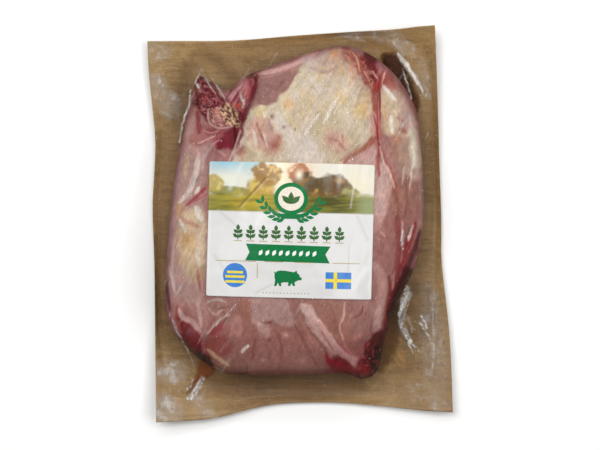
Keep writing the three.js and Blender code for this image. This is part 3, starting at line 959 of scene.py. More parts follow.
def paint_upper_left(c):
    c.washes(
        ([(-55, 68), (-43, 77), (-29, 85), (-28, 77), (-31, 68), (-37, 58), (-42, 52), (-46, 61)],
         "8A3C44", 1.4, 1),
        ([(-44, 78), (-38, 80), (-36, 72), (-42, 70)], "C08084", 1.2, 0.8),
        ([(-43, 68), (-36, 74), (-34, 66), (-38, 58), (-43, 60)], "A8605A", 1.6, 0.8),
        ([(-45, 60), (-40, 60), (-38, 52), (-43, 52)], "5E1A26", 1.4, 0.8),
    )
    c.wash([(-55, 68), (-43, 77), (-29, 85), (-31, 68), (-37, 58), (-46, 61)], "D09C9A", 1.6, 0.8, 1,
           smooth_step(0.2, 0.6, grain(c.x, c.y, 62, 9 * MM, 1.6 * MM, 63, 2)))
    c.strokes(
        ([(-34, 83), (-29, 78)], "5E0E20", 3.4),
        ([(-29, 82), (-32, 70), (-38, 58), (-41, 50)], "6C222E", 4.2),
        ([(-51, 68), (-47, 72), (-43, 75)], "D2A0A0", 2),
        ([(-42, 72), (-41, 68), (-38, 64)], "D2C6BE", 2.0),
        ([(-50, 66), (-46, 71), (-40, 77)], "D8A8A8", 1.3),
        ([(-48, 62), (-44, 68), (-37, 77)], "C58A8C", 1.2),
        ([(-40, 62), (-38, 68)], "DCC8C0", 1.2),
        ([(-36, 80), (-35, 72)], "B05058", 1.4),
        ([(-46, 63), (-43, 64)], "BC4E36", 3),
    )
    c.washes(
        ([(-74, 53), (-63, 50), (-54, 49), (-60, 43), (-75, 39), (-81, 44)], "A76E6C", 1.8, 0.95),
        ([(-66, 50), (-50, 50), (-42, 47), (-50, 38), (-62, 42)], "93464C", 2, 0.6),
        ([(-60, 41), (-54, 46), (-46, 51), (-39, 50), (-42, 43), (-46, 37), (-58, 36)], "7E2C38", 1.2, 1),
        ([(-66, 37), (-52, 37), (-47, 35), (-49, 28), (-66, 28)], "A47875", 1.2, 1),
    )
    c.strokes(
        ([(-75, 60), (-73, 47)], "8C3A40", 4),
        ([(-74, 41), (-61, 45)], "DFB2AE", 1.6),
        ([(-70, 49), (-63, 47), (-56, 50)], "C99896", 1.4),
        ([(-63, 40), (-57, 43)], "CF8C92", 1.3),
        ([(-46, 51), (-46, 41), (-49, 30)], "4E0E1C", 2),
        ([(-41, 49), (-45, 40), (-49.5, 30)], "E0C4BC", 1.8),
        ([(-58, 37), (-52, 33)], "BE9690", 2),
    )


def paint_flap(c):
    flap = [(-72, 87), (-64, 79), (-57, 71), (-49, 63), (-43, 54), (-54, 50), (-62, 50), (-68, 55), (-75, 63),
            (-77, 74)]
    fine = mottle(c.x, c.y, 0.95 * MM, 64, 1)
    strands = grain(c.x, c.y, 118, 6 * MM, 1.3 * MM, 65, 2)
    c.wash(flap, PULP, 1.2)
    c.wash(flap, "4E1422", 1.5, 0.7, 1, smooth_step(0.05, 0.5, -fine + 0.5 * c.speckle))
    # Pale pink specks, partly painted highlights on the wet pulp
    c.wash(flap, PULP_PINK_AND_GLINT, 1.5, 0.8, 1, smooth_step(0.15, 0.45, fine + 0.25 * strands))
    c.wash(flap, "DDA79C", 1.5, 0.85, 1, smooth_step(0.42, 0.7, strands + 0.3 * fine))
    c.wash([(-66, 60), (-59, 63), (-51, 60), (-48, 55), (-54, 51), (-61, 51), (-65, 55)],
           "B07A76", 1, 0.7)
    c.wash([(-66, 60), (-59, 63), (-51, 60), (-54, 51), (-65, 55)], "E2BDB4", 1, 0.8, 1,
           smooth_step(0.2, 0.5, fine))
    c.stroke([(-66, 62), (-66, 55), (-61, 50.5), (-54, 50), (-47, 51)], "E0BFBA", 1.7, 0.9)
    crumbs = [(-57, 60), (-52, 65), (-47, 63), (-43, 57), (-42, 51), (-49, 51), (-55, 54)]
    c.wash(crumbs, "5A3226", 1.5, 0.9, 1, smooth_step(-0.2, 0.2, -fine))
    # Yellowish specks of painted highlight on the crumbs
    c.wash(crumbs, "DFC29A", 1.5, 0.95, 1, smooth_step(0.05, 0.3, fine))
    c.dots(((-60, 60), "E8A894", 1.8), ((-58, 55), "C99A94", 2), ((-70, 68), "A25054", 3),
           ((-73, 74), "C09088", 2), ((-76, 66), "4A1420", 3))


def paint_ham(x, y, out):
    """Colours of the joint as seen from above, with painted highlights and painted shade down its flank;
    `out` is 1 at its waist.
    """
    c = Meat(x, y)
    cloud = mottle(x, y, 22 * MM, 40, 4)[:, None]
    c.value += np.clip(cloud, 0, 1) * 0.5 * (LEAN_PALE - c.value)
    c.value += np.clip(-cloud, 0, 1) * 0.45 * (LEAN_DEEP - c.value)
    for paint in (paint_right_side, paint_bottom, paint_lower_right_tip, paint_lower_left, paint_left_side,
                  paint_fat_cap, paint_top, paint_right_fat, paint_blood_and_seam, paint_upper_left,
                  paint_flap):
        paint(c)
    for outline, factors in (
        ([(32, 100), (48, 74), (60, 62), (66, 68), (69, 78), (66, 92), (55, 100)], (0.82, 0.72, 0.76)),
        ([(18, 93), (36, 98), (42, 84), (24, 80)], (0.92, 0.82, 0.77)),
        ([(-78, 90), (-60, 86), (-58, 66), (-52, 50), (-66, 48), (-80, 60)], (0.76, 0.68, 0.68)),
        ([(-58, 66), (-46, 78), (-30, 88), (-30, 66), (-40, 50), (-50, 54)], (0.86, 0.86, 0.9)),
        ([(-66, 50), (-42, 52), (-48, 30), (-70, 34)], (0.86, 0.8, 0.84)),
        ([(-66, -66), (-10, -66), (30, -62), (52, -76), (46, -96), (-4, -100), (-45, -97), (-66, -84)],
         (0.94, 0.84, 0.82)),
        ([(26, -80), (44, -76), (62, -66), (73, -74), (66, -98), (50, -102), (24, -94)], (0.82, 0.66, 0.72)),
        ([(56, -4), (92, 0), (97, -20), (84, -50), (70, -66), (58, -52), (58, -20)], (0.9, 0.78, 0.76)),
        ([(70, 18), (96, 18), (96, 0), (74, 0)], (0.92, 0.82, 0.76)),
        ([(-100, -50), (-88, -52), (-66, -58), (-60, -84), (-74, -92), (-92, -80)], (0.96, 0.84, 0.84)),
        ([(60, 62), (69, 64), (69, 44), (60, 36)], (0.94, 0.84, 0.82)),
        ([(-13, 50), (30, 90), (60, 70), (40, 28), (-40, 28)], (0.9, 0.865, 0.835)),
        ([(50, -90), (58, -76), (68, -74), (70, -84), (64, -97), (54, -102), (47, -98)], (0.9, 0.72, 0.8)),
        ([(-92, -60), (-80, -66), (-70, -76), (-62, -90), (-72, -95), (-86, -84)], (0.88, 0.78, 0.8)),
    ):
        c.deepen(outline, factors)
    fine = grain(x, y, 62, 14 * MM, 1.4 * MM, 70, 2)
    blots = mottle(x, y, 6 * MM, 71, 3)
    pale = smooth_step(0.3, 0.6, c.value.min(1))
    c.value *= (1 + (0.13 - 0.07 * pale) * fine + (0.12 - 0.07 * pale) * c.speckle + 0.08 * blots)[:, None]
    c.value *= MEAT_WARMTH
    # Painted shade: darker and redder where the joint turns down to its flank
    painted_flank_shade = smooth_step(0.93, 1.02, out + 0.025 * blots)
    c.value *= 1 - painted_flank_shade[:, None] * FLANK_SHADE
    return np.clip(c.value - FILM_VEIL, 0.004, 1)


def carve_ham(x, y):
    """How far each point of the joint is raised or sunk, in metres."""
    c = Canvas(x, y, 0.0)
    c.add(0.7 * MM * mottle(x, y, 26 * MM, 80, 3))
    c.add(0.16 * MM * grain(x, y, 60, 22 * MM, 2.5 * MM, 81, 2))
    for line, height, width in (
        ([(65, 80), (64, 60), (65, 39), (70, 27), (77, 12)], -1.6, 3.2),
        ([(63, 48), (50, 35), (37, 29)], -1.2, 5),
        ([(-30, 84), (-33, 69), (-39, 57), (-42, 49)], -3.2, 6),
        ([(-46, 51), (-46, 41), (-49, 28)], -2.4, 4),
        ([(-66, 62), (-66, 54), (-60, 49), (-52, 49), (-44, 51)], -1.8, 3),
        ([(-76, 78), (-75, 64), (-69, 55)], -1.5, 4),
        ([(92, -8), (86, -18), (82, -32), (75, -50), (70, -68)], -2.6, 6),
        ([(72, -37), (73, -53), (68, -72), (62, -84)], -2.0, 4),
        ([(4, -54), (10, -68), (23, -81), (36, -90), (48, -95)], -1.3, 3),
        ([(-89, -60), (-79, -66), (-70, -75), (-66, -88)], -2.2, 5),
        ([(-50, -62), (-60, -68), (-71, -76)], -1.4, 4),
        ([(-66, 17), (-75, 8), (-84, 2)], -1.4, 3),
        ([(-31, 67), (-14, 69), (-3, 79), (5, 89)], -1.0, 3),
        ([(8, -56), (20, -68), (34, -81), (48, -90)], 1.2, 6),
        ([(66, -30), (67, -50), (62, -66)], 1.3, 6),
        ([(-74, 40), (-62, 45)], 1.0, 3),
        ([(-60, 60), (-56, 56)], 1.6, 8),
        ([(50, -72), (52, -76)], 1.2, 8),
        ([(-86, 0), (-80, -20), (-84, -36)], 0.9, 9),
    ):
        c.ridge(line, height, width, taper=0.15, crest=1.3)
    # Torn pulp on the flap and on the lower right tip
    for outline, height, scale, seed in (
        ([(-72, 86), (-57, 71), (-43, 54), (-54, 50), (-68, 55), (-77, 74)], 0.9, 3.2, 82),
        ([(48, -88), (58, -80), (70, -76), (64, -98), (52, -102)], 0.6, 3.5, 83),
    ):
        near, mask = c.area(outline, 2)
        c.value[near, 0] += mask * height * MM * mottle(x[near], y[near], scale * MM, seed, 2)
    return c.value[:, 0]


def build_ham():
    rays, waist = ham_rays, ham_rays.waist
    top = ring_shares((0.28, 6), (1.0, 100))
    x, y = rays.places(top[:, None] * waist * WAIST_INSET)
    z = heights(cad_ham, x, y, rays.waist_z)
    # The last rings are eased down towards the waist
    z = np.where(top[:, None] > EASED_FROM, rays.waist_z + (z - rays.waist_z) * EASED, z)
    z = evened(z, 3)
    z += carve_ham(x.ravel(), y.ravel()).reshape(x.shape) * smooth_step(1.0, 0.93, top)[:, None]
    # Down the flank and in under the joint
    below = np.linspace(0.12, 1, FLANK_RINGS)[:, None]
    inset = (ham_high.x - ham_low.x) * FLANK_INSET * below**2.2
    flank_x, flank_y = rays.places(waist[None, :] - inset)
    flank_z = ham_low.z + (z[-1][None, :] - ham_low.z) * (1 - below)
    under_x, under_y = rays.places(waist[None, :] * UNDER_SHARES[:, None])
    x, y = np.concatenate([x, flank_x, under_x]), np.concatenate([y, flank_y, under_y])
    z = np.concatenate([z, flank_z, np.full(under_x.shape, ham_low.z)])
    piece = skin("ham", x, y, z, [(*MIDDLE, float(z[0].mean())), (*MIDDLE, ham_low.z)])
    out = np.concatenate([top, np.ones(FLANK_RINGS), UNDER_SHARES])[:, None] + 0 * x
    # The flank repeats what lies just inside the waist above it, so that nothing smears down it
    flank = slice(len(top), -len(UNDER_SHARES))
    x[flank], y[flank] = rays.places(waist[None, :] * (WAIST_INSET - FLANK_REPEAT * below))
    paint = paint_ham(x.ravel(), y.ravel(), out.ravel())
    keep_colours(piece, "paint", np.concatenate([paint, paint[:1], paint[-1:]]))
    finish_piece(piece, "ham_joint", meat_finish())
    return piece


# ---------------------------------------------------------------- clear film

FOOT_RUN = 8 * MM  # how far the film runs out from the waist on its way down
SEAL_SHARE = 0.5  # the furthest it may run, as a share of the way to the rim
FILM_THICKNESS = 0.1 * MM
FILM_LIFT = 0.25 * MM  # over the evened meat
FILM_GAP = 0.2 * MM  # the least room over the meat
FILM_RIM_LIFT = 0.45 * MM


def crease_film(x, y, out):
    """Height that folds and wrinkles add to the film. `out` is 0 on the meat and 1 at the rim."""
    c = Canvas(x, y, 0.0)
    for line, height, width in (
        ([(84, 87), (87, 77), (91, 68), (94, 62)], 2.2, 3.5),
        ([(80, 96), (88, 90), (92, 84), (97, 78), (102, 70)], 2.4, 5),
        ([(66, 108), (82, 98), (90, 92)], 1.4, 6),
        ([(90, -45), (85, -55), (81, -64), (85, -71), (92, -80)], 4.0, 5.5),
        ([(96, -66), (102, -72), (107, -79)], 1.8, 3),
        ([(72, -81), (81, -87), (86, -94)], 1.6, 3),
        ([(-73, -93), (-80, -101), (-87, -109)], 4.0, 6),
        ([(-69, -97), (-76, -106), (-82, -113)], 1.6, 3),
        ([(-80, 76), (-81, 66), (-87, 52), (-89, 40)], 1.6, 3),
        ([(-78, 76), (-72, 87)], 1.4, 2.5),
        ([(-64, 82), (-53, 67)], 1.2, 2.5),
        ([(34, 108), (60, 110), (80, 104)], 0.9, 4),
        ([(-112, 84), (-103, 80), (-93, 70), (-89, 60)], 0.9, 4),
        ([(107, -53), (108, -80), (107, -100)], 0.7, 2.5),
    ):
        c.ridge(line, height, width, taper=0.35, crest=1.25)
    bearing = np.arctan2(y - MIDDLE[1], x - MIDDLE[0])
    pleats = mottle(bearing * 0.1, out * 0.02, 3.4 * MM, 90, 3)
    c.add(0.75 * MM * np.maximum(pleats, 0) * np.exp(-(((out - 0.12) / 0.3) ** 2)) * (out > 0))
    wrinkles = 1 - np.abs(mottle(x, y, 9 * MM, 91, 3)) * 3
    c.add(0.28 * MM * np.clip(wrinkles, 0, 1) ** 2)
    long_wrinkles = 1 - np.abs(grain(x, y, 60, 34 * MM, 7 * MM, 92, 3)) * 3.2
    c.add(0.4 * MM * np.clip(long_wrinkles, 0, 1) ** 2 * (out <= 0))
    return c.value[:, 0]


def cloud_film(x, y, out):
    """Where the film is milky, and where highlights and reflections are painted on it: creases, folds and
    crinkled corners.
    """
    c = Canvas(x, y, 0.0, 3 * MM)
    crinkle = smooth_step(0.0, 0.45, mottle(x, y, 4.5 * MM, 95, 3))
    lines = np.clip(1 - np.abs(mottle(x, y, 6 * MM, 96, 3)) * 7, 0, 1)
    patches = 0.3 + 0.7 * smooth_step(-0.3, 0.3, mottle(x, y, 5.5 * MM, 99, 3))
    # Milky patches over the flange, partly painted glare
    for outline, strength in (
        ([(-112, 84), (-103, 81), (-93, 71), (-88, 63), (-97, 57), (-109, 68)], 0.6),
        ([(-108, -111), (-97, -109), (-88, -118), (-91, -126), (-108, -125)], 0.6),
        ([(-108, -91), (-86, -89), (-86, -101), (-105, -102)], 0.55),
        ([(-80, -108), (-68, -112), (-62, -122), (-78, -120)], 0.35),
        ([(100, -45), (112, -50), (120, -112), (106, -118), (98, -80)], 0.3),
        ([(30, 106), (60, 113), (84, 108), (96, 92), (84, 96), (60, 104)], 0.4),
        ([(98, 92), (104, 88), (106, 70), (98, 72)], 0.35),
        ([(-115, 102), (-96, 100), (-96, 94), (-114, 92)], 0.3),
    ):
        c.wash(outline, 1.0, 3, strength, 3, 0.35 + 0.65 * crinkle)
    # Painted highlights: glints along folds and wrinkles, the wider ones milky as well
    for line, width, strength in (
        ([(84, 87), (88, 75), (91, 67)], 1.6, 1.2),
        ([(80, 96), (86, 90), (91, 85), (95, 80), (99, 73)], 4.5, 1.1),
        ([(88, 90), (92, 84), (96, 78)], 1.4, 1.6),
        ([(88, -44), (85, -52), (83, -60), (83, -68), (86, -73), (91, -78)], 5.4, 1.5),
        ([(90, -48), (87, -56), (86, -66)], 3.0, 1.0),
        ([(96, -66), (102, -72), (107, -79)], 2.0, 1.2),
        ([(98, -62), (104, -70)], 1.2, 0.9),
        ([(86, -72), (92, -84)], 1.6, 1.0),
        ([(90, -78), (97, -84)], 1.2, 0.9),
        ([(88, -62), (92, -72)], 2.6, 0.6),
        ([(107, -50), (108, -80), (107, -100)], 1.2, 0.6),
        ([(-71, -99), (-76, -106), (-82, -113)], 4.0, 1.5),
        ([(-77, -99), (-84, -108)], 1.4, 1.2),
        ([(-81, 74), (-81, 66), (-87, 52), (-89, 42)], 2.0, 1.4),
        ([(-77, 77), (-72, 87)], 2.0, 1.0),
        ([(-71, 84), (-64, 74)], 1.2, 1.0),
        ([(-64, 81), (-53, 67)], 1.6, 1.1),
        ([(-75, 77), (-74, 74)], 3.0, 1.4),
        ([(-44, -54), (-60, -66), (-70, -75)], 1.0, 0.9),
        ([(-97, -60), (-88, -74), (-78, -92)], 1.4, 0.8),
        ([(34, 69), (27, 60), (22, 52)], 1.6, 1.0),
        ([(19, 58), (12, 51), (7, 45)], 1.6, 0.9),
        ([(-72, 30), (-77, 18), (-83, 10)], 1.6, 0.8),
        ([(-88, -4), (-83, -12)], 1.4, 1.0),
        ([(82, -6), (82.7, -22)], 1.0, 1.0),
        ([(91, -7), (87, -16)], 1.6, 1.3),
        ([(-35, -78), (-41, -83)], 1.8, 1.2),
        ([(67, 76), (78, 66)], 1.8, 0.9),
    ):
        held = 0.75 if width > 4 else 0.5
        c.stroke(line, 1.0, width * 0.9, min(strength, 1) * held, 1.2, 0.3, held + (1 - held) * patches)
        strands = max(1, round(width / 2))
        for k in range(strands):
            aside = (k - (strands - 1) / 2) * 1.5
            strand = [(u + aside, v - 0.5 * aside) for u, v in line]
            c.stroke(strand, 1.4, 0.8, min(max(strength - 0.35, 0), 1), 1.2, 0.3, patches)
    flange = smooth_step(0.05, 0.3, out)
    corner = smooth_step(0.9, 1.25, np.hypot(x - MIDDLE[0], y - MIDDLE[1]) / np.hypot(*HALF) * 1.15)
    c.raise_to(0.32 * corner * flange * crinkle * lines)
    # Painted highlights: short glints on small wrinkles over the meat
    streaks = np.clip(grain(x, y, 58, 16 * MM, 1.7 * MM, 97, 2) * 2.6 - 1.05, 0, 1)
    streaks = streaks * smooth_step(0.0, 0.4, mottle(x, y, 16 * MM, 98, 2))
    c.raise_to(0.36 * streaks * (out <= 0.02))
    c.raise_to(0.004 * crinkle)
    return c.value[:, 0]


def build_film(ham):
    """The film lies on the meat, comes down round it and runs out to the rim."""
    rays, waist, rim_reach = sheet_rays, sheet_rays.waist, sheet_rays.reach
    top = ring_shares((0.3, 5), (0.96, 50), (1.0, 4))
    even = evened(waist[None, :], 12, rings=False)[0]
    foot = np.minimum(np.maximum(waist, even) + FOOT_RUN, waist + (rim_reach - waist) * SEAL_SHARE)
    side = ring_shares((1.0, 9))
    flange = ring_shares((0.45, 20), (1.0, 20))
    reach = np.concatenate([
        top[:, None] * waist,
        waist + side[:, None] * (foot - waist),
        foot + flange[:, None] * (rim_reach - foot),
    ])
    out = np.concatenate([np.zeros(len(top) + len(side)), flange])[:, None] + 0 * reach
    # A hair inside the rim, so that every ray meets the CAD film
    x, y = rays.places(np.minimum(reach, rim_reach - 0.05 * MM))
    z = evened(heights(cad_film, x, y), 2)
    meat = heights(surface_of(ham), x, y)
    on_meat = np.arange(len(reach))[:, None] < len(top) - 1
    lifted = np.maximum(evened(meat, 4), meat) + FILM_LIFT
    z = np.where(on_meat, np.maximum(lifted, meat + FILM_GAP), z)
    z = evened(z, 1)
    z += crease_film(x.ravel(), y.ravel(), out.ravel()).reshape(x.shape)
    z[-1] = rays.rim[:, 2] + FILM_RIM_LIFT
    haze_and_glints = cloud_film(x.ravel(), y.ravel(), out.ravel()).reshape(x.shape)
    # The inner side needs fewer rings
    inner = [len(z) - 1, *range(len(z) - 4, 3, -3), 0]
    all_x, all_y = np.concatenate([x, x[inner]]), np.concatenate([y, y[inner]])
    all_z = np.concatenate([z, z[inner] - FILM_THICKNESS])
    crown = float(z[0].mean())
    poles = [(*MIDDLE, crown), (*MIDDLE, crown - FILM_THICKNESS)]
    piece = skin("clear_film", all_x, all_y, all_z, poles)
    keep_mask(piece, "haze_and_glints", np.concatenate([haze_and_glints, haze_and_glints[inner]]))
    finish_piece(piece, "clear_top_film", clear_film_finish())
    return piece


# ---------------------------------------------------------------- base film

BASE_THICKNESS = 0.35 * MM
RIM_WAVE = 0.5 * MM  # how high the edge ripples


def paint_base(x, y):
    """Shade of the base film: painted shadow by the meat, juice stains, and painted light that makes it paler
    towards the corners.
    """
    c = Canvas(x, y, (1.0, 1.0, 1.0))
    for outline, factors, soft in (
        ([(44, 104), (60, 106), (76, 101), (86, 94), (78, 88), (70, 96), (56, 100)], (0.76, 0.66, 0.46), 3),
        ([(86, -42), (104, -44), (108, -60), (104, -74), (94, -80), (84, -70), (84, -56)],
         (0.74, 0.68, 0.60), 4),
        ([(70, -80), (84, -70), (92, -84), (88, -98), (74, -98)], (0.92, 0.88, 0.76), 4),
        # Painted shadow below the meat
        ([(-64, -96), (0, -98), (44, -99), (52, -108), (0, -113), (-58, -110)], (0.64, 0.56, 0.48), 5),
        ([(-104, -20), (-100, -60), (-90, -86), (-98, -86), (-107, -60), (-110, -20)], (0.86, 0.83, 0.8), 4),
        # Painted shadow beside the flap at the upper left
        ([(-86, 56), (-82, 84), (-72, 94), (-58, 84), (-48, 78), (-44, 84), (-66, 99), (-88, 90), (-96, 56)],
         (0.68, 0.64, 0.58), 5),
        ([(84, -50), (120, -50), (126, -122), (84, -120)], (0.84, 0.83, 0.84), 6),
        # Painted light: paler at the lower left and upper left corners and along the right edge, in this line
        # and the next two
        ([(-112, -90), (-84, -100), (-60, -118), (-70, -128), (-112, -128)], (1.06, 1.08, 1.1), 6),
        ([(-116, 108), (-84, 106), (-78, 92), (-114, 86)], (1.18, 1.22, 1.26), 6),
        ([(106, 110), (116, 110), (124, -60), (112, -60)], (1.08, 1.09, 1.1), 5),
        ([(90, -48), (92, -54), (86, -70), (82, -70), (84, -58)], (1.0, 0.84, 0.5), 1.5),
    ):
        c.deepen(outline, factors, soft)
    # Amber runs of juice
    for line, width in (
        ([(71, -82), (78, -88), (84, -94)], 1.5),
        ([(75, -73), (83, -77)], 1.1),
        ([(88, -46), (81, -56), (80, -67)], 1.3),
        ([(76, -76), (84, -90)], 1.2),
        ([(80, -83), (87, -92)], 1.6),
        ([(74, -86), (75, -96)], 1.2),
        ([(84, -82), (85, -95)], 1.2),
        ([(91, 82), (93, 68)], 2.0),
    ):
        c.stroke(line, (1.45, 1.12, 0.74), width, 0.75)
    return c.value


def build_base():
    rays, waist, rim_reach = sheet_rays, sheet_rays.waist, sheet_rays.reach
    inner = waist * 0.9
    reach = np.concatenate([
        np.array([0.3, 0.6])[:, None] * inner,
        inner + ring_shares((1.0, 46))[:, None] * (rim_reach - inner),
    ])
    x, y = rays.places(np.minimum(reach, rim_reach - 0.02 * MM))
    z = evened(heights(cad_base, x, y), 2)
    z[-1] = rays.rim[:, 2]
    edge = 0.5 + 0.5 * np.tanh((reach - rim_reach) / (10 * MM) + 1.5)
    z += np.abs(mottle(x, y, 26 * MM, 100, 2)) * RIM_WAVE * edge * (reach < rim_reach - MM)
    all_x, all_y = np.concatenate([x, x[::-1]]), np.concatenate([y, y[::-1]])
    all_z = np.concatenate([z, np.maximum(z[::-1] - BASE_THICKNESS, 0)])
    piece = skin("base_film", all_x, all_y, all_z, [(*MIDDLE, float(z[0].mean())), (*MIDDLE, 0.0)])
    # Painted shadow: the film darkens close to the meat
    near_meat = np.exp(-np.clip((reach - waist) / MM, 0, None) / 6)[..., None]
    shade = paint_base(x.ravel(), y.ravel()).reshape(*x.shape, 3)
    shade = shade * (1 - near_meat * np.array([0.34, 0.38, 0.42]))
    keep_colours(piece, "shade", np.concatenate([shade, shade[::-1]]).reshape(-1, 3))
    finish_piece(piece, "brown_base_film", base_film_finish())
    return piece


# ---------------------------------------------------------------- label

LABEL_SIZE = np.array([108.0, 88.0]) * MM
LABEL_TURN = math.radians(-1.4)
LABEL_CELL = 0.62 * MM
LABEL_CORNER = 0.022  # the rounded corner, as a share of half the width and of half the length
CORNER_PULL = 0.29
LABEL_LIFT = 0.12 * MM
LABEL_THICKNESS = 0.12 * MM
label_low, label_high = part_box("front_label")
LABEL_MIDDLE = ((label_low.x + label_high.x) / 2, (label_low.y + label_high.y) / 2)
ALONG = (math.cos(LABEL_TURN), math.sin(LABEL_TURN))
HORIZON = 0.635  # lower edge of the picture band, as a share of the label's length
TREES = (  # middle and half size as shares of the width and of the sky, shade and sunlit colour
    ((0.15, 0.40), (0.15, 0.11), "87853A", "B5A548"),
    ((0.035, 0.57), (0.055, 0.17), "B9A455", "E6D488"),
    ((0.31, 0.50), (0.09, 0.20), "A5853A", "DCC05E"),
    ((0.36, 0.77), (0.095, 0.25), "9A6F38", "E6C27C"),
    ((0.54, 0.82), (0.07, 0.20), "B06C46", "F6D3AC"),
    ((0.61, 0.52), (0.10, 0.30), "4C3A18", "946C2C"),
    ((0.70, 0.50), (0.10, 0.28), "5A4620", "C2984A"),
    ((0.79, 0.54), (0.07, 0.26), "6A4B2A", "A5834E"),
    ((0.86, 0.38), (0.06, 0.15), "858050", "B5AC70"),
    ((0.96, 0.33), (0.08, 0.08), "A3A078", "C9C49A"),
)


def turned(origin, right, up):
    """Plan place at some distances along the label's width and length from an origin."""
    return (origin[0] + right * ALONG[0] - up * ALONG[1],
            origin[1] + right * ALONG[1] + up * ALONG[0])


def label_place(s, t):
    """Plan place of a share of the label's width and length, from its lower left corner."""
    return turned(LABEL_MIDDLE, (s - 0.5) * LABEL_SIZE[0], (t - 0.5) * LABEL_SIZE[1])


def paint_label(s, t):
    """White paper with an evening meadow along its top."""
    width, length = LABEL_SIZE
    x, y = s * width, t * length
    band = smooth_step(HORIZON - 0.003, HORIZON + 0.003, t)
    sky = (t - HORIZON) / (1 - HORIZON)
    value = np.tile(colour("E1E0DE"), (len(s), 1))

    def lay(mask, code, strength=1.0):
        value[:] += (np.clip(mask, 0, 1) * strength)[:, None] * (colour(code) - value)

    def glow(*lights):
        """Soft light in the picture band: (middle, spread, colour, strength)."""
        for (at_s, at_sky), (spread_s, spread_sky), code, strength in lights:
            away = ((s - at_s) / spread_s) ** 2 + ((sky - at_sky) / spread_sky) ** 2
            lay(band * np.exp(-away), code, strength)

    lay(band, "E6E2D4")
    glow(
        ((0.10, 1.05), (0.16, 0.30), "8CC4D6", 1.0),
        ((0.27, 1.0), (0.07, 0.22), "A8D0D2", 0.8),
        ((0.12, 0.66), (0.10, 0.18), "F0EEDD", 0.9),
        ((0.44, 0.65), (0.06, 0.5), "FFF6D8", 1.0),
        ((0.55, 0.8), (0.08, 0.25), "F6C79A", 0.9),
        ((0.90, 0.6), (0.09, 0.3), "EFE6C8", 0.9),
    )
    leaves = mottle(x, y, 3.2 * MM, 110, 3)
    clumps = mottle(x, y, 8 * MM, 111, 2)
    for (at_s, at_sky), (half_s, half_sky), shade, sunlit in TREES:
        out = np.hypot((s - at_s) / half_s, (sky - at_sky) / half_sky)
        crown = band * smooth_step(1.12, 0.82, out + 0.30 * leaves + 0.35 * clumps)
        lay(crown, shade, 0.92)
        lay(crown * smooth_step(0.0, 0.45, leaves + 0.3 * clumps), sunlit, 0.85)
    glow(
        ((0.545, 0.76), (0.022, 0.10), "FFF0D8", 0.95),
        ((0.34, 0.32), (0.09, 0.26), "D6B050", 0.6),
        ((0.64, 0.28), (0.12, 0.14), "86601E", 0.7),
    )
    grass = grain(x, y, 4, 16 * MM, 1.2 * MM, 112, 3)
    meadow = band * smooth_step(0.37, 0.28, sky + 0.06 * clumps)
    for mask, code, strength in (
        (1.0, "84801E", 0.95),
        (np.exp(-(((s - 0.26) / 0.16) ** 2)), "C2A82A", 0.9),
        (np.exp(-(((s - 0.74) / 0.17) ** 2)), "44420C", 0.95),
        (smooth_step(0.16, 0.02, sky), "55641A", 0.4),
        (smooth_step(0.0, 0.5, grass), "B8A838", 0.32),
        (smooth_step(0.0, 0.5, -grass), "4A4E14", 0.45),
        (smooth_step(0.86, 0.96, s), "96A072", 0.75),
    ):
        lay(meadow * mask, code, strength)
    glare = np.clip(grain(x, y, 84, 60 * MM, 2.4 * MM, 113, 2) + 0.15, 0, 1)
    lay(band * smooth_step(0.55, 0.95, s) * glare * smooth_step(0.35, 0.9, sky), "F4F2EA", 0.8)
    # Creases in the paper, painted as lines of shade and of highlight
    for start, end, wide, code, strength in (
        ((0.34, 0.88), (0.19, 0.67), 1.5, "806228", 0.8),
        ((0.35, 0.87), (0.20, 0.66), 1.0, "E8DDA8", 0.25),
        ((0.20, 0.99), (0.13, 0.80), 3.0, "EEF2EE", 0.4),
        ((0.89, 0.98), (0.86, 0.68), 1.2, "F6F4EC", 0.3),
        ((0.86, 0.40), (0.85, 0.02), 0.9, "B4B2AE", 0.55),
        ((0.865, 0.40), (0.855, 0.02), 0.7, "EAE9E6", 0.5),
        ((0.06, 0.64), (0.18, 0.52), 1.6, "BEBCB8", 0.4),
        ((0.90, 0.62), (0.97, 0.44), 2.0, "BEBDBA", 0.4),
        ((0.30, 0.54), (0.50, 0.50), 1.6, "EAEAE8", 0.5),
        ((0.05, 0.30), (0.16, 0.10), 2.0, "C0BFBC", 0.35),
        ((0.30, 0.03), (0.40, 0.10), 1.4, "BBBAB7", 0.45),
    ):
        away, _ = distance_to_line(x, y, np.array([start, end]) * LABEL_SIZE)
        lay(np.exp(-((away / (wide * 0.5 * MM)) ** 2)), code, strength)
    value *= (1 + 0.035 * mottle(x, y, 12 * MM, 114, 3))[:, None]
    return np.clip(value, 0, 1)


def neighbours(grid):
    """The four grids of each point's neighbours."""
    p = np.pad(grid, 1, mode="edge")
    return [p[2:, 1:-1], p[:-2, 1:-1], p[1:-1, 2:], p[1:-1, :-2]]


def spread(grid, times):
    """Evens out a grid of heights."""
    for _ in range(times):
        grid = (sum(neighbours(grid)) + 2 * grid) / 6
    return grid


def widest(grid, times):
    """The greatest height within some cells of each point of a grid."""
    for _ in range(times):
        grid = np.maximum.reduce([*neighbours(grid), grid])
    return grid


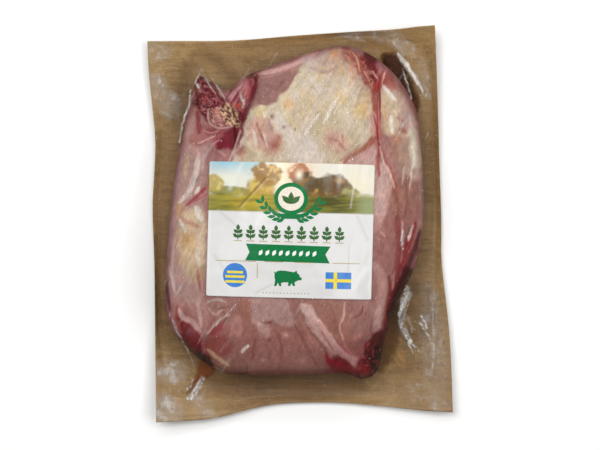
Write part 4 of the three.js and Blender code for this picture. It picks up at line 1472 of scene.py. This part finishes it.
def build_label(film_surface):
    counts = [int(round(size / LABEL_CELL)) + 1 for size in LABEL_SIZE]
    s, t = np.meshgrid(*(np.linspace(0, 1, count) for count in counts), indexing="ij")
    # Corners rounded by drawing the outer cells in
    straight = 1 - LABEL_CORNER
    off = [np.abs(share - 0.5) * 2 for share in (s, t)]
    over = [np.clip(far - straight, 0, 1) / LABEL_CORNER for far in off]
    pull = np.where((over[0] > 0) & (over[1] > 0), 1 - CORNER_PULL * np.minimum(*over), 1.0)
    drawn_in = [0.5 + np.sign(share - 0.5) * (np.minimum(far, straight) + past * LABEL_CORNER * pull) / 2
                for share, far, past in zip((s, t), off, over)]
    x, y = label_place(*drawn_in)
    z = heights(film_surface, x, y)
    level = spread(z, 30)
    z = level + spread(widest(z - level, 4), 10) + LABEL_LIFT
    z += 0.25 * MM * mottle(x, y, 17 * MM, 120, 2) ** 2
    cell = np.ones((counts[0] - 1, counts[1] - 1), bool)
    piece = sheet("label", x, y, z + LABEL_THICKNESS, z, cell)
    paint = paint_label(s.ravel(), t.ravel())
    keep_colours(piece, "paint", np.concatenate([paint, paint]))
    finish_piece(piece, "front_label", label_finish())
    return piece


# ---------------------------------------------------------------- print on the label

# Printed shapes are in millimetres from a shape's own middle
BANNER = [(-27.5, -5.3), (27.5, -6.0), (24.6, -0.3), (27.8, 5.0), (-27.2, 5.6), (-24.8, 0.1)]
PIG = [(-8.6, 3.0), (-9.2, 4.4), (-8.0, 3.6), (-7.2, 4.5), (-5.0, 5.1), (-1.5, 5.0), (2.0, 4.4), (4.0, 4.1),
       (5.6, 5.3), (6.0, 3.7), (7.4, 2.6), (7.8, 1.2), (9.2, 0.3), (8.9, -0.9), (7.2, -1.0), (5.4, -1.8),
       (4.4, -2.6), (4.9, -4.6), (3.4, -5.0), (2.6, -2.8), (1.6, -4.9), (0.2, -4.9), (0.4, -2.6),
       (-2.8, -2.6), (-4.4, -3.1), (-4.0, -5.0), (-5.4, -5.1), (-6.4, -2.8), (-7.4, -5.2), (-8.8, -5.1),
       (-8.2, -1.2), (-8.7, 1.0)]
INKS = {
    "green": ("06703A", "0C7C44"),
    "leaf": ("165A30", "4F7038"),
    "gold": ("A98F52", "B59A60"),
    "blue": ("3478C8", "4F8CD4"),
    "yellow": ("F2D22E", "EDE05A"),
    "white": ("E9EFE8", "F5F7F2"),
    "cream": ("F1EBDD", "E6D9C4"),
}
RULE_SPAN = 111  # what a rule right across the label would measure
PRINT_CELL = 1.4 * MM
PRINT_SHIFT = 0.37 * MM  # keeps the cuts off the shapes' own corners
INK_LIFT = 0.07 * MM
INK_LAYER = 0.05 * MM  # between one printed layer and the next
INK_THICKNESS = 0.02 * MM


def ring_points(radius_x, radius_y=None, count=40):
    turn = np.radians(np.linspace(0, 360, count, endpoint=False))
    return [(radius_x * math.cos(a), (radius_y or radius_x) * math.sin(a)) for a in turn]


def box_points(width, height, aside=0, up=0):
    w, h = width / 2, height / 2
    return [(aside + x, up + y) for x, y in ((-w, -h), (w, -h), (w, h), (-w, h))]


def leaf_points(length, width, turn, at=(0, 0)):
    """A leaf from its stalk outwards, turned by some degrees."""
    c, s = math.cos(math.radians(turn)), math.sin(math.radians(turn))
    outline = [(0, 0), (0.3, 0.42), (0.6, 0.5), (1, 0), (0.6, -0.5), (0.3, -0.42)]
    return [(at[0] + u * length * c - v * width * s, at[1] + u * length * s + v * width * c)
            for u, v in outline]


def sprig(height):
    """An upright stem with two pairs of leaves and one at its top."""
    yield [(-0.35, 0), (0.35, 0), (0.25, height * 0.7), (-0.25, height * 0.7)]
    for share, length in ((0.12, 4.3), (0.42, 3.7)):
        for side in (-1, 1):
            yield leaf_points(length, 2.3, 90 - side * 52, (0, height * share))
    yield leaf_points(height * 0.42, 2.5, 90, (0, height * 0.58))


def printed_shapes():
    """Each printed shape: its ink, its middle on the label in shares, its points and its layer."""
    yield "green", (0.487, 0.332), BANNER, 0
    for k in range(9):
        yield "white", (0.325 + 0.0405 * k, 0.332), leaf_points(4.4, 2.4, 60, (-1.1, -1.9)), 1
    # A row of sprigs, each on a short rule
    for k in range(9):
        for leaf in sprig(10.0):
            yield "leaf", (0.185 + 0.0765 * k, 0.425), leaf, k % 2
        yield "gold", (0.185 + 0.0765 * k, 0.416), box_points(5.2, 0.45), 0
    # Wreath over the middle: a ring with a sprig in it, between two branches
    yield "green", (0.50, 0.735), ring_points(11.0, 10.4), 2
    yield "cream", (0.50, 0.735), ring_points(8.4, 7.8), 3
    for turn in (42, 90, 138):
        yield "leaf", (0.50, 0.695), leaf_points(8.2, 3.6, turn), 4
    for side in (-1, 1):
        for k in range(6):
            stalk = (side * (4.0 + 2.9 * k), -12.0 + 0.40 * k * k)
            for lean in (-34, 34):
                turn = 12 + 9 * k + lean
                yield "green", (0.50, 0.72), leaf_points(5.6, 2.3, turn if side > 0 else 180 - turn, stalk), 1
    yield "green", (0.50, 0.605), box_points(13, 3.2), 4
    # Rules, each between two shares of the width
    for start, end in ((0.056, 0.294), (0.35, 0.46), (0.53, 0.64), (0.76, 0.924)):
        yield "gold", ((start + end) / 2, 0.266), box_points((end - start) * RULE_SPAN, 0.4), 0
    yield "gold", (0.307, 0.198), box_points(0.35, 10), 0
    # Round badge with plain bars
    badge = (0.173, 0.16)
    yield "blue", badge, ring_points(7.9), 0
    for up, width in ((2.0, 10.5), (-0.9, 12.6), (-4.2, 12.6)):
        yield "yellow", badge, box_points(width, 1.6, up=up), 1
    yield "green", (0.492, 0.145), PIG, 0
    # Flag with a cross
    flag = (0.797, 0.137)
    yield "blue", flag, box_points(16.8, 10.8), 0
    yield "yellow", flag, box_points(16.8, 2.1), 1
    yield "yellow", flag, box_points(2.3, 10.8, aside=-2.0), 1
    # Row of dots along the foot
    for k in range(14):
        yield "gold", (0.345 + 0.021 * k, 0.035), ring_points(0.4, count=8), 0


def cut_up(mesh, face, origin, reach):
    """Cuts a flat face into cells, so that it can follow the label."""
    faces = [face]
    cuts = int(reach / PRINT_CELL) + 1
    for normal in (Vector((1, 0, 0)), Vector((0, 1, 0))):
        for k in range(-cuts, cuts + 1):
            cut = Vector((*origin, 0)) + normal * (k * PRINT_CELL + PRINT_SHIFT)
            geometry = faces + list({e for f in faces for e in f.edges})
            geometry += list({v for f in faces for v in f.verts})
            result = bmesh.ops.bisect_plane(mesh, geom=geometry, dist=1e-7, plane_co=cut, plane_no=normal)
            faces = list({f for f in result["geom"] if isinstance(f, bmesh.types.BMFace)})


def build_print(label_surface):
    """Printed shapes as thin sheets laid on the label, one piece for each ink."""
    made = {ink: bmesh.new() for ink in INKS}
    for ink, place, points, layer in printed_shapes():
        origin = label_place(*place)
        mesh = made[ink]
        before = set(mesh.verts)
        corners = [mesh.verts.new((*turned(origin, px * MM, py * MM), 0)) for px, py in points]
        reach = max(max(abs(px), abs(py)) for px, py in points) * MM
        cut_up(mesh, mesh.faces.new(corners), origin, reach)
        new = [v for v in mesh.verts if v not in before]
        for v, z in zip(new, heights(label_surface, [v.co.x for v in new], [v.co.y for v in new])):
            v.co.z = z + INK_LIFT + INK_LAYER * layer
    for ink, mesh in made.items():
        bmesh.ops.recalc_face_normals(mesh, faces=mesh.faces)
        bmesh.ops.reverse_faces(mesh, faces=[f for f in mesh.faces if f.normal.z < 0])
        solid = bmesh.ops.extrude_face_region(mesh, geom=list(mesh.faces), use_keep_orig=True)
        for v in solid["geom"]:
            if isinstance(v, bmesh.types.BMVert):
                v.co.z += INK_THICKNESS
        bmesh.ops.recalc_face_normals(mesh, faces=mesh.faces)
        bmesh.ops.triangulate(mesh, faces=mesh.faces)
        data = bpy.data.meshes.new("print_" + ink)
        mesh.to_mesh(data)
        mesh.free()
        finish_piece(put("print_" + ink, data), "front_label", ink_finish("ink_" + ink, *INKS[ink]))


# ---------------------------------------------------------------- juice

POOLS = {  # outline, depth in millimetres, colour where deep, colour where thin, cover where deep
    "upper_right": ([(69, 94), (74, 96), (80, 94), (86, 87), (91, 78), (96, 70), (96, 63), (92, 59), (84, 68),
                     (74, 80)], 5.0, "3A1C10", "7A4E24", 0.9),
    "lower_right": ([(88, -50), (84, -58), (82, -70), (80, -80), (74, -90), (67, -96), (62, -92), (68, -76),
                     (76, -58)], 3.0, "6A4422", "8E6A38", 0.3),
    "lower_left": ([(-71, -88), (-62, -92), (-66, -98), (-76, -104), (-83, -109), (-77, -99)],
                   3.0, "7E4424", "A8743A", 0.85),
}
POOL_CELL = 0.9 * MM
POOL_MARGIN = 3 * MM
POOL_FLOOR = 0.05 * MM  # underside of the juice over the base film
POOL_THINNEST = 0.1 * MM
POOL_HEADROOM = 0.35 * MM  # left free under the clear film
LEAST_ROOM = 0.05 * MM
NO_ROOF = 20 * MM  # taken where no film is overhead


def build_pool(side, film_surface, base_surface, juice):
    """Juice lying on the base film under the clear film, thinning out to nothing at its edge."""
    outline, deepest, deep, thin, cover = POOLS[side]
    line = rounded(spots(outline), True)
    low, high = line.min(0) - POOL_MARGIN, line.max(0) + POOL_MARGIN
    nx, ny = np.ceil((high - low) / POOL_CELL).astype(int)
    x, y = np.meshgrid(np.linspace(low[0], high[0], nx), np.linspace(low[1], high[1], ny), indexing="ij")
    canvas = Canvas(x.ravel(), y.ravel(), 0.0, 4 * MM)
    canvas.wash(outline, 1.0, 2.4, 1, 1.4)
    depth = canvas.value[:, 0].reshape(x.shape)
    floor = heights(base_surface, x, y)
    roof = heights(film_surface, x, y, NO_ROOF)
    room = np.clip(roof - POOL_HEADROOM - floor - POOL_THINNEST, LEAST_ROOM, None)
    top = floor + POOL_THINNEST + np.minimum(depth * deepest * MM, room)
    top += 0.1 * MM * mottle(x, y, 3 * MM, 130, 2) * depth
    keep = depth > 0.02
    cell = keep[:-1, :-1] & keep[1:, :-1] & keep[1:, 1:] & keep[:-1, 1:]
    piece = sheet("pool_" + side, x, y, top, floor + POOL_FLOOR, cell)
    keep_mask(piece, "depth", np.tile(depth.ravel() * cover, 2))
    share = smooth_step(0.2, 0.9, depth.ravel())[:, None]
    keep_colours(piece, "tint", np.tile(colour(thin) + share * (colour(deep) - colour(thin)), (2, 1)))
    cleaner = bmesh.new()
    cleaner.from_mesh(piece.data)
    bmesh.ops.delete(cleaner, geom=[v for v in cleaner.verts if not v.link_faces], context="VERTS")
    bmesh.ops.recalc_face_normals(cleaner, faces=cleaner.faces)
    cleaner.to_mesh(piece.data)
    cleaner.free()
    finish_piece(piece, "juice_" + side, juice)


# ---------------------------------------------------------------- stage, lights and camera

LAMPS = (  # place, length and width in metres, power, and whether it leaves a shine on things
    ("softbox_left", (-0.9, 0.7, 1.5), (1.5, 1.5), 23, False),
    ("softbox_right", (1.0, 0.1, 1.3), (1.2, 1.2), 11, False),
    ("strip_top", (0.15, 1.0, 0.9), (0.9, 0.03), 2.3, True),
    ("strip_right", (0.85, -0.55, 0.95), (0.7, 0.03), 2.3, True),
    ("strip_high_left", (-0.5, 0.35, 1.6), (0.6, 0.025), 1.8, True),
    ("strip_high_top", (0.3, 0.65, 1.6), (0.6, 0.025), 1.8, True),
)
FLOOR_HALF = 3.0
CAMERA_HEIGHT = 2.0
CAMERA_ASIDE = (3.55 * MM, -8.15 * MM)  # from over the middle of the ham
VIEW_WIDTH = 0.402  # across the floor
SENSOR_WIDTH = 36


def hang_lamp(name, place, size, power, leaves_shine):
    """A rectangular lamp aimed at the pack."""
    light = bpy.data.lights.new(name, "AREA")
    light.shape = "RECTANGLE"
    light.size, light.size_y = size
    light.energy = power
    lamp = put(name, light)
    lamp.location = place
    lamp.rotation_euler = Vector(place).to_track_quat("Z", "Y").to_euler()
    lamp.visible_glossy = leaves_shine


def build_stage():
    scene = bpy.context.scene
    scene.view_settings.view_transform = "Standard"
    scene.world = bpy.data.worlds.new("studio")
    scene.world.use_nodes = True
    background = scene.world.node_tree.nodes["Background"]
    background.inputs["Color"].default_value = (1.0, 1.0, 1.0, 1.0)
    background.inputs["Strength"].default_value = 0.14
    for lamp in LAMPS:
        hang_lamp(*lamp)
    corners = [(x * FLOOR_HALF, y * FLOOR_HALF, 0) for x, y in ((-1, -1), (1, -1), (1, 1), (-1, 1))]
    floor = new_piece("floor", corners, [(0, 1, 2, 3)])
    floor.data.materials.append(floor_finish())
    floor.visible_glossy = False
    camera = put("camera", bpy.data.cameras.new("camera"))
    camera.location = (*(MIDDLE + CAMERA_ASIDE), CAMERA_HEIGHT)
    camera.data.sensor_width = SENSOR_WIDTH
    camera.data.lens = SENSOR_WIDTH * CAMERA_HEIGHT / VIEW_WIDTH
    scene.camera = camera


build_stage()
ham = build_ham()
film_surface = surface_of(build_film(ham))
base_surface = surface_of(build_base())
build_print(surface_of(build_label(film_surface)))
juice = juice_finish()
for side in POOLS:
    build_pool(side, film_surface, base_surface, juice)
